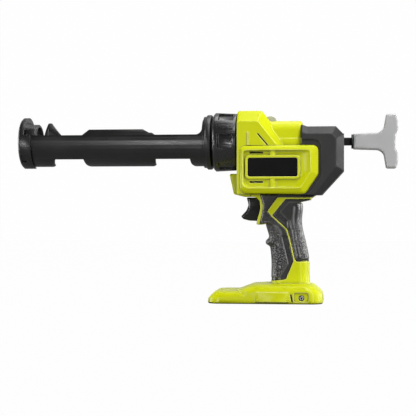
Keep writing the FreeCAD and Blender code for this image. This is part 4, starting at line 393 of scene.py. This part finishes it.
def moulding(name, deep, plain, edge_highlight_and_wear, rough, rough_span, edge_mask_gain, edge_mask_radius, grain_scale, grain_strength,
             specular, crevice_reach=CREVICE_REACH):
    """Moulded plastic or rubber: mottled colour, polished edges lightened by a painted highlight, painted
    shade in crevices, smudges and a fine grain.
    """
    material, tree, shader = finish_base(name)
    grain = placed(tree, "grain", Scale=grain_scale)
    wear_and_highlight = placed(tree, "wear_and_highlight", Radius=edge_mask_radius, Gain=edge_mask_gain)
    marks = placed(tree, "marks")
    shut = placed(tree, "painted_crevice_shade", Reach=crevice_reach)
    body = blend(tree, grain.outputs["Mottle"], deep, plain)
    # The rubbed edge colour is a painted highlight on top of real polish.
    worn_and_highlighted = blend(tree, wear_and_highlight.outputs["Mask"], body, edge_highlight_and_wear)
    # Painted shade: crevices darken the colour to a small share of the deep colour.
    shaded = tuple(CREVICE_SHADE * level for level in deep)
    tree.links.new(blend(tree, shut.outputs["Mask"], worn_and_highlighted, shaded), shader.inputs["Base Color"])
    spread = node(tree, "ShaderNodeMapRange",
                  [("To Min", rough - rough_span), ("To Max", rough + rough_span)])
    tree.links.new(marks.outputs["Smudge"], spread.inputs["Value"])
    polished = sums(tree, "MULTIPLY", wear_and_highlight.outputs["Mask"], -rough_span)
    scuffed = sums(tree, "MULTIPLY", marks.outputs["Scuff"], SCUFF_SHARE * rough_span)
    handled = sums(tree, "ADD", spread.outputs[0], polished)
    tree.links.new(sums(tree, "ADD", handled, scuffed), shader.inputs["Roughness"])
    shader.inputs["Specular IOR Level"].default_value = specular
    skin = bumped(tree, grain.outputs["Height"], grain_strength, SKIN_DEPTH, wear_and_highlight.outputs["Soft Normal"])
    tree.links.new(skin, shader.inputs["Normal"])
    return material


def grip_finish():
    """Rubber of the handle: smooth borders, a painted highlight line round the pads, and pads with raised
    dots.
    """
    material = moulding(
        "grip_overmould", deep=(0.009, 0.0085, 0.008), plain=(0.013, 0.0125, 0.012), edge_highlight_and_wear=grey(0.10),
        rough=0.28, rough_span=0.04, edge_mask_gain=2.6, edge_mask_radius=0.0012, grain_scale=1500.0, grain_strength=0.12,
        specular=0.9)
    tree = material.node_tree
    shader = tree.nodes["Principled BSDF"]
    pads = placed(tree, "pads")
    dots = placed(tree, "stipple")
    plain = shader.inputs["Base Color"].links[0].from_socket
    # The line round the pads is a painted highlight, where light would catch the pads' raised step.
    tree.links.new(blend(tree, pads.outputs["Rim Highlight"], plain, PAD_HIGHLIGHT_COLOUR), shader.inputs["Base Color"])
    raised = sums(tree, "MULTIPLY", dots.outputs["Height"], pads.outputs["Mask"])
    skin = shader.inputs["Normal"].links[0].from_socket
    tree.links.new(bumped(tree, raised, DOT_STRENGTH, DOT_HEIGHT, skin), shader.inputs["Normal"])
    return material


def metal(name, dark, light, rough, metallic, line_scale):
    """Drawn, turned or plated metal."""
    material, tree, shader = finish_base(name)
    drawn = placed(tree, "drawn", Line_Scale=line_scale)
    wear_and_highlight = placed(tree, "wear_and_highlight", Gain=METAL_RUB_GAIN)
    toned = blend(tree, drawn.outputs["Tone"], dark, light)
    edge = tuple(min(1.0, METAL_EDGE_GAIN * level + METAL_EDGE_LIFT) for level in light)
    tree.links.new(blend(tree, wear_and_highlight.outputs["Mask"], toned, edge), shader.inputs["Base Color"])
    spread = node(tree, "ShaderNodeMapRange",
                  [("To Min", rough - METAL_ROUGH_SPAN), ("To Max", rough + METAL_ROUGH_SPAN)])
    tree.links.new(drawn.outputs["Height"], spread.inputs["Value"])
    tree.links.new(spread.outputs[0], shader.inputs["Roughness"])
    shader.inputs["Metallic"].default_value = metallic
    lines = bumped(tree, drawn.outputs["Height"], METAL_LINE_STRENGTH, SKIN_DEPTH, wear_and_highlight.outputs["Soft Normal"])
    tree.links.new(lines, shader.inputs["Normal"])
    return material


# Edge colours of the mouldings are painted highlights along their rims, as well as polish.
FINISHES = {
    "lime_shell": moulding(
        "lime_moulding", deep=(0.590, 0.635, 0.0020), plain=(0.625, 0.668, 0.0028), edge_highlight_and_wear=(0.90, 0.91, 0.26),
        rough=0.32, rough_span=0.04, edge_mask_gain=6.0, edge_mask_radius=0.0020, grain_scale=1500.0, grain_strength=0.08,
        specular=0.25),
    "boot_rubber": moulding(
        "boot_overmould", deep=grey(0.021), plain=(0.028, 0.028, 0.027), edge_highlight_and_wear=grey(0.09),
        rough=0.44, rough_span=0.05, edge_mask_gain=2.5, edge_mask_radius=0.0022, grain_scale=1900.0, grain_strength=0.20,
        specular=0.35),
    "grip_rubber": grip_finish(),
    "black_moulding": moulding(
        "black_moulding", deep=grey(0.006), plain=grey(0.010), edge_highlight_and_wear=grey(0.05),
        rough=0.36, rough_span=0.05, edge_mask_gain=2.5, edge_mask_radius=0.0008, grain_scale=1700.0, grain_strength=0.12,
        specular=0.6),
    "grey_moulding": moulding(
        "grey_moulding", deep=grey(0.42), plain=grey(0.46), edge_highlight_and_wear=grey(0.82),
        rough=0.36, rough_span=0.06, edge_mask_gain=4.5, edge_mask_radius=0.0018, grain_scale=1600.0, grain_strength=0.08,
        specular=0.5),
    # The dial's short reach paints shade into the valleys between its ridges.
    "dial_plastic": moulding(
        "dial_moulding", deep=grey(0.46), plain=grey(0.54), edge_highlight_and_wear=grey(0.80),
        rough=0.30, rough_span=0.06, edge_mask_gain=4.0, edge_mask_radius=0.0003, grain_scale=1600.0, grain_strength=0.08,
        specular=0.6, crevice_reach=0.0012),
    "plate_plastic": moulding(
        "plate_moulding", deep=grey(0.003), plain=grey(0.005), edge_highlight_and_wear=grey(0.03),
        rough=0.34, rough_span=0.04, edge_mask_gain=1.5, edge_mask_radius=0.0006, grain_scale=2200.0, grain_strength=0.04,
        specular=0.12),
    "electric_plastic": moulding(
        "electric_moulding", deep=(0.030, 0.030, 0.031), plain=(0.042, 0.042, 0.043), edge_highlight_and_wear=grey(0.10),
        rough=0.45, rough_span=0.06, edge_mask_gain=2.5, edge_mask_radius=0.0006, grain_scale=1700.0, grain_strength=0.15,
        specular=0.5),
    "board_laminate": moulding(
        "board_laminate", deep=(0.015, 0.10, 0.035), plain=(0.022, 0.14, 0.05), edge_highlight_and_wear=(0.10, 0.25, 0.12),
        rough=0.32, rough_span=0.05, edge_mask_gain=2.0, edge_mask_radius=0.0004, grain_scale=1900.0, grain_strength=0.05,
        specular=0.5),
    "seal_rubber": moulding(
        "seal_rubber", deep=grey(0.006), plain=grey(0.010), edge_highlight_and_wear=grey(0.03),
        rough=0.55, rough_span=0.05, edge_mask_gain=1.5, edge_mask_radius=0.0005, grain_scale=1900.0, grain_strength=0.15,
        specular=0.4),
    "blackened_rod": metal(
        "black_oxide_steel", dark=grey(0.006), light=(0.011, 0.011, 0.012),
        rough=0.36, metallic=0.35, line_scale=2600.0),
    "steel": metal(
        "machined_steel", dark=(0.42, 0.42, 0.43), light=(0.55, 0.55, 0.56),
        rough=0.30, metallic=1.0, line_scale=2600.0),
    "brass": metal(
        "turned_brass", dark=(0.60, 0.43, 0.18), light=(0.74, 0.55, 0.26),
        rough=0.28, metallic=1.0, line_scale=2600.0),
    "gear_head_metal": metal(
        "cast_alloy", dark=(0.48, 0.48, 0.49), light=(0.60, 0.60, 0.61),
        rough=0.42, metallic=1.0, line_scale=900.0),
    "motor_can_metal": metal(
        "plated_can", dark=(0.40, 0.40, 0.38), light=(0.52, 0.52, 0.50),
        rough=0.34, metallic=1.0, line_scale=1600.0),
}
# Pieces whose moulding is smoother than that of the others in their slot
SMOOTHER = {
    # The trigger's light edge colour paints a highlight along its front edge.
    "trigger": moulding(
        "trigger_moulding", deep=grey(0.004), plain=grey(0.007), edge_highlight_and_wear=grey(0.16),
        rough=0.20, rough_span=0.03, edge_mask_gain=3.0, edge_mask_radius=0.0012, grain_scale=1700.0, grain_strength=0.06,
        specular=0.6),
    "lock_collar": moulding(
        "collar_moulding", deep=grey(0.006), plain=grey(0.010), edge_highlight_and_wear=grey(0.08),
        rough=0.27, rough_span=0.05, edge_mask_gain=3.0, edge_mask_radius=0.0008, grain_scale=1700.0, grain_strength=0.10,
        specular=0.75),
}

# Eased edges: width of the round on each node, and what counts as merged, flat and sharp
EASED_EDGES = {
    "housing_left": 0.0006, "housing_right": 0.0006, "rear_boot_left": 0.0009, "rear_boot_right": 0.0009,
    "lock_collar": 0.0005, "carriage_shell": 0.0004, "front_cap": 0.0005, "pull_handle": 0.0004,
    "side_plate_left": 0.0004, "side_plate_right": 0.0004, "trigger": 0.0009, "plunger_disc": 0.0005,
    "speed_dial": 0.0002, "insert_rings": 0.0003, "accessory_inserts": 0.0003, "handle_washer": 0.0003,
}
MERGE_GAP = 0.000004
FLAT_ANGLE = math.radians(0.6)
SHARP_ANGLE = math.radians(32)
EASE_STEPS = 2


def ease_edges(part, width):
    """Small rounds on the sharp edges of a node, by modifiers alone."""
    weld = part.modifiers.new("weld", "WELD")
    weld.merge_threshold = MERGE_GAP
    flat = part.modifiers.new("flat", "DECIMATE")
    flat.decimate_type = "DISSOLVE"
    flat.angle_limit = FLAT_ANGLE
    round_edges = part.modifiers.new("round", "BEVEL")
    round_edges.width = width
    round_edges.segments = EASE_STEPS
    round_edges.limit_method = "ANGLE"
    round_edges.angle_limit = SHARP_ANGLE
    round_edges.use_clamp_overlap = True
    round_edges.harden_normals = True
    round_edges.miter_outer = "MITER_ARC"


def dress_nodes():
    """Every node takes the finish of its slot, and its edges are eased as moulded edges are."""
    slots = {part["node"]: part["material_slot"] for part in frame["record"]["subparts"]}
    for name, part in nodes.items():
        part.data.materials.clear()
        part.data.materials.append(SMOOTHER.get(name, FINISHES[slots[name]]))
    for name, width in EASED_EDGES.items():
        ease_edges(nodes[name], width)


# Modelling steps that several pieces share
RESHAPED_SMOOTH_ANGLE = math.radians(30)


def copied(part, name):
    """Copy of an object with its own mesh, selected alone."""
    bpy.ops.object.select_all(action="DESELECT")
    part.select_set(True)
    bpy.context.view_layer.objects.active = part
    bpy.ops.object.duplicate()
    piece = bpy.context.object
    piece.name = name
    return piece


def select_only(piece, kind, wanted):
    """In edit mode, selects just the points, edges or faces that the test takes."""
    bpy.ops.mesh.select_mode(type=kind)
    bpy.ops.mesh.select_all(action="DESELECT")
    mesh = bmesh.from_edit_mesh(piece.data)
    for item in {"VERT": mesh.verts, "EDGE": mesh.edges, "FACE": mesh.faces}[kind]:
        if wanted(item):
            item.select_set(True)
    bmesh.update_edit_mesh(piece.data)


def merged_copy(name, new_name, body):
    """Copy of a node with its loose triangles merged, which stands in the node's place."""
    piece = copied(nodes[name], new_name)
    bpy.ops.mesh.customdata_custom_splitnormals_clear()
    bpy.ops.object.mode_set(mode="EDIT")
    bpy.ops.mesh.select_all(action="SELECT")
    bpy.ops.mesh.remove_doubles(threshold=MERGE_GAP)
    bpy.ops.object.mode_set(mode="OBJECT")
    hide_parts(name)
    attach(piece, body)
    return piece


def reshape(name, new_name, body, moved):
    """Copy of a node with its points moved a little."""
    piece = merged_copy(name, new_name, body)
    for point in piece.data.vertices:
        point.co = moved(point.co)
    bpy.ops.object.shade_smooth_by_angle(angle=RESHAPED_SMOOTH_ANGLE)


# Side frame: corners of its recess in the side view, clockwise, and the slope of the rim round it
RECESS_CORNERS = [(-0.0252, 0.1763), (0.0524, 0.1763), (0.0524, 0.1514), (0.0406, 0.1330), (-0.0252, 0.1330)]
FRAME_LOW = (-0.0297, 0.1255)
FRAME_HIGH = (0.0619, 0.1825)
RIM_INNER_Y = 0.03695
RIM_SLOPE = 0.46
RIM_DROP = 0.0030


def beyond_recess(x, z):
    """Distance outside the recess of the side frame, in the side view, or a negative number inside it."""
    distances = []
    for first, second in zip(RECESS_CORNERS, RECESS_CORNERS[1:] + RECESS_CORNERS[:1]):
        run = Vector((second[0] - first[0], second[1] - first[1])).normalized()
        distances.append((z - first[1]) * run[0] - (x - first[0]) * run[1])
    return max(distances)


def sloped_rim(place):
    """Point of a housing half, moved inwards on the frame's rim, so that the rim falls away outwards."""
    x, y, z = place
    on_frame = FRAME_LOW[0] < x < FRAME_HIGH[0] and FRAME_LOW[1] < z < FRAME_HIGH[1]
    if not on_frame or abs(y) < RIM_INNER_Y:
        return place
    drop = min(RIM_DROP, RIM_SLOPE * max(0.0, beyond_recess(x, z)))
    return Vector((x, math.copysign(abs(y) - drop, y), z))


# Trigger: how much further its finger face stands out at the toe and above it, and where that begins
TOE_REACH = 0.0010
FACE_REACH = 0.0020
TOE_Z = 0.098
FACE_Z = 0.104
SHANK_X = -0.004
FACE_X = -0.014


def share_between(value, start, stop):
    """Share of the way from start to stop, held between zero and one."""
    return min(1.0, max(0.0, (value - start) / (stop - start)))


def fuller_face(place):
    """Point of the trigger, moved forward where it lies near the finger face."""
    reach = TOE_REACH + (FACE_REACH - TOE_REACH) * share_between(place.z, TOE_Z, FACE_Z)
    return Vector((place.x - reach * share_between(place.x, SHANK_X, FACE_X), place.y, place.z))


# Grips: grid of their even skin, limits of the finger and palm faces, and rounds of smoothing
GRIPS = ["grip_front_left", "grip_front_right", "grip_rear_left", "grip_rear_right"]
GRIP_GRID = 0.0007
PARTING_BAND = 0.0030
FINGER_FACE = (-0.030, 0.015)
PALM_FACE = (0.0405, 0.070)
HOLD_LOW_Z = 0.038
HOLD_HIGH_Z = 0.092
HELD_FACE_ROUNDS = 36
BORDER_ROUNDS = 2
SMOOTHING_SHARE = 0.5


def on_held_face(point):
    """Whether a point of a grip lies on the faces that fingers and palm hold, away from the borders."""
    in_height = HOLD_LOW_Z < point.co.z < HOLD_HIGH_Z and abs(point.co.y) > PARTING_BAND
    in_front = FINGER_FACE[0] < point.co.x < FINGER_FACE[1]
    return in_height and (in_front or PALM_FACE[0] < point.co.x < PALM_FACE[1])


def even_grip(name):
    """Copy of a grip overmould as one even skin with soft borders and smooth held faces."""
    grip = merged_copy(name, name + "_skin", "body")
    skin = grip.modifiers.new("skin", "REMESH")
    skin.mode = "VOXEL"
    skin.voxel_size = GRIP_GRID
    bpy.ops.object.modifier_apply(modifier="skin")
    bpy.ops.object.mode_set(mode="EDIT")
    select_only(grip, "VERT", on_held_face)
    bpy.ops.mesh.vertices_smooth(factor=SMOOTHING_SHARE, repeat=HELD_FACE_ROUNDS)
    bpy.ops.mesh.select_all(action="SELECT")
    bpy.ops.mesh.vertices_smooth(factor=SMOOTHING_SHARE, repeat=BORDER_ROUNDS)
    bpy.ops.object.mode_set(mode="OBJECT")
    bpy.ops.object.shade_smooth()


# Screws on the far side: head seats in the counterbores, and sizes
SCREW_SEATS = [
    (-0.0160, 0.024, 0.2124), (0.0360, 0.018, 0.2046), (-0.0268, 0.030, 0.1354), (0.0260, 0.030, 0.1334),
    (0.0580, 0.027, 0.1349), (0.0452, 0.009, 0.0360), (-0.0450, 0.024, 0.0060), (0.0540, 0.024, 0.0060),
]
SCREW_HEAD_RADIUS = 0.0029
SCREW_HEAD_HEIGHT = 0.0022
SCREW_ROUND = 0.0009
SCREW_ROUND_STEPS = 4
SCREW_DRIVE_RADIUS = 0.0016
SCREW_DRIVE_DEPTH = 0.0013
SCREW_SHANK_RADIUS = 0.0015
SCREW_SHANK_LENGTH = 0.020
SCREW_SIDES = 36
SCREW_SMOOTH_ANGLE = math.radians(35)
SCREW_TURN = 0.4
LOBE_ANGLE = math.radians(60)
# Shares of a lobe that its hollow and its flank take up, and their scales
LOBE_HOLLOW = (-0.01, 0.05)
LOBE_FLANK = (0.05, 0.20)
LOBE_HOLLOW_SCALE = 0.72
LOBE_FLANK_SCALE = 0.82
# Bands that tell the points and faces of a screw apart
HEAD_TOP_BAND = 0.9 * SCREW_HEAD_HEIGHT
HEAD_RIM_BAND = 0.95 * SCREW_HEAD_RADIUS
DRIVE_BAND = 1.1 * SCREW_DRIVE_RADIUS
AXIS_BAND = 0.0001
ALONG_AXIS = 0.9


def drive_lobe(low, high):
    """Test for the points of the drive's rim whose angle, within a lobe, lies between two shares of it."""
    def wanted(point):
        if point.co.z < HEAD_TOP_BAND or point.co.xy.length > DRIVE_BAND:
            return False
        share = (math.atan2(point.co.y, point.co.x) % LOBE_ANGLE) / LOBE_ANGLE
        return low < min(share, 1.0 - share) < high
    return wanted


def is_drive_floor(face):
    """Whether a face of a screw is the middle of its top."""
    return face.normal.z > ALONG_AXIS and face.calc_center_median().xy.length < AXIS_BAND


def is_head_rim(edge):
    """Whether an edge of a screw runs along the outer rim of its head."""
    return all(point.co.z > HEAD_TOP_BAND and point.co.xy.length > HEAD_RIM_BAND for point in edge.verts)


def six_lobe_screw():
    """Pan head screw with a six-lobe drive, head up, its seat at the origin."""
    bpy.ops.mesh.primitive_cylinder_add(vertices=SCREW_SIDES, radius=SCREW_HEAD_RADIUS,
                                        depth=SCREW_HEAD_HEIGHT, location=(0, 0, SCREW_HEAD_HEIGHT / 2))
    screw = bpy.context.object
    bpy.ops.object.transform_apply()
    bpy.ops.object.mode_set(mode="EDIT")
    select_only(screw, "FACE", lambda face: face.normal.z > ALONG_AXIS)
    bpy.ops.mesh.inset(thickness=SCREW_HEAD_RADIUS - SCREW_DRIVE_RADIUS)
    select_only(screw, "VERT", drive_lobe(*LOBE_HOLLOW))
    bpy.ops.transform.resize(value=(LOBE_HOLLOW_SCALE, LOBE_HOLLOW_SCALE, 1.0), center_override=(0, 0, 0))
    select_only(screw, "VERT", drive_lobe(*LOBE_FLANK))
    bpy.ops.transform.resize(value=(LOBE_FLANK_SCALE, LOBE_FLANK_SCALE, 1.0), center_override=(0, 0, 0))
    select_only(screw, "FACE", is_drive_floor)
    bpy.ops.mesh.extrude_region_move(TRANSFORM_OT_translate={"value": (0, 0, -SCREW_DRIVE_DEPTH)})
    select_only(screw, "EDGE", is_head_rim)
    bpy.ops.mesh.bevel(offset=SCREW_ROUND, segments=SCREW_ROUND_STEPS, affect="EDGES")
    select_only(screw, "FACE", lambda face: face.normal.z < -ALONG_AXIS)
    bpy.ops.mesh.inset(thickness=SCREW_HEAD_RADIUS - SCREW_SHANK_RADIUS)
    bpy.ops.mesh.extrude_region_move(TRANSFORM_OT_translate={"value": (0, 0, -SCREW_SHANK_LENGTH)})
    bpy.ops.object.mode_set(mode="OBJECT")
    bpy.ops.object.shade_smooth_by_angle(angle=SCREW_SMOOTH_ANGLE)
    screw.data.materials.append(FINISHES["steel"])
    return screw


def fit_screws():
    """Six-lobe screws in place of the plain ones, one copy in each counterbore."""
    bpy.ops.object.select_all(action="DESELECT")
    screw = six_lobe_screw()
    for number, seat in enumerate(SCREW_SEATS, start=1):
        fitted = copied(screw, f"six_lobe_screw_{number}")
        fitted.rotation_euler = (-QUARTER_TURN, SCREW_TURN * number, 0)
        fitted.location = seat
        bpy.ops.object.transform_apply()
        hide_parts("housing_screws")
        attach(fitted, "body")
    bpy.data.objects.remove(screw)


studio_camera()
studio_world()
studio_paper()
for lamp in LAMPS:
    studio_lamp(*lamp)
dress_nodes()
reshape("housing_left", "housing_left_shell", "body", sloped_rim)
reshape("housing_right", "housing_right_shell", "body", sloped_rim)
reshape("trigger", "trigger_lever", "trigger", fuller_face)
for grip_name in GRIPS:
    even_grip(grip_name)
fit_screws()

scene.view_settings.view_transform = "Standard"
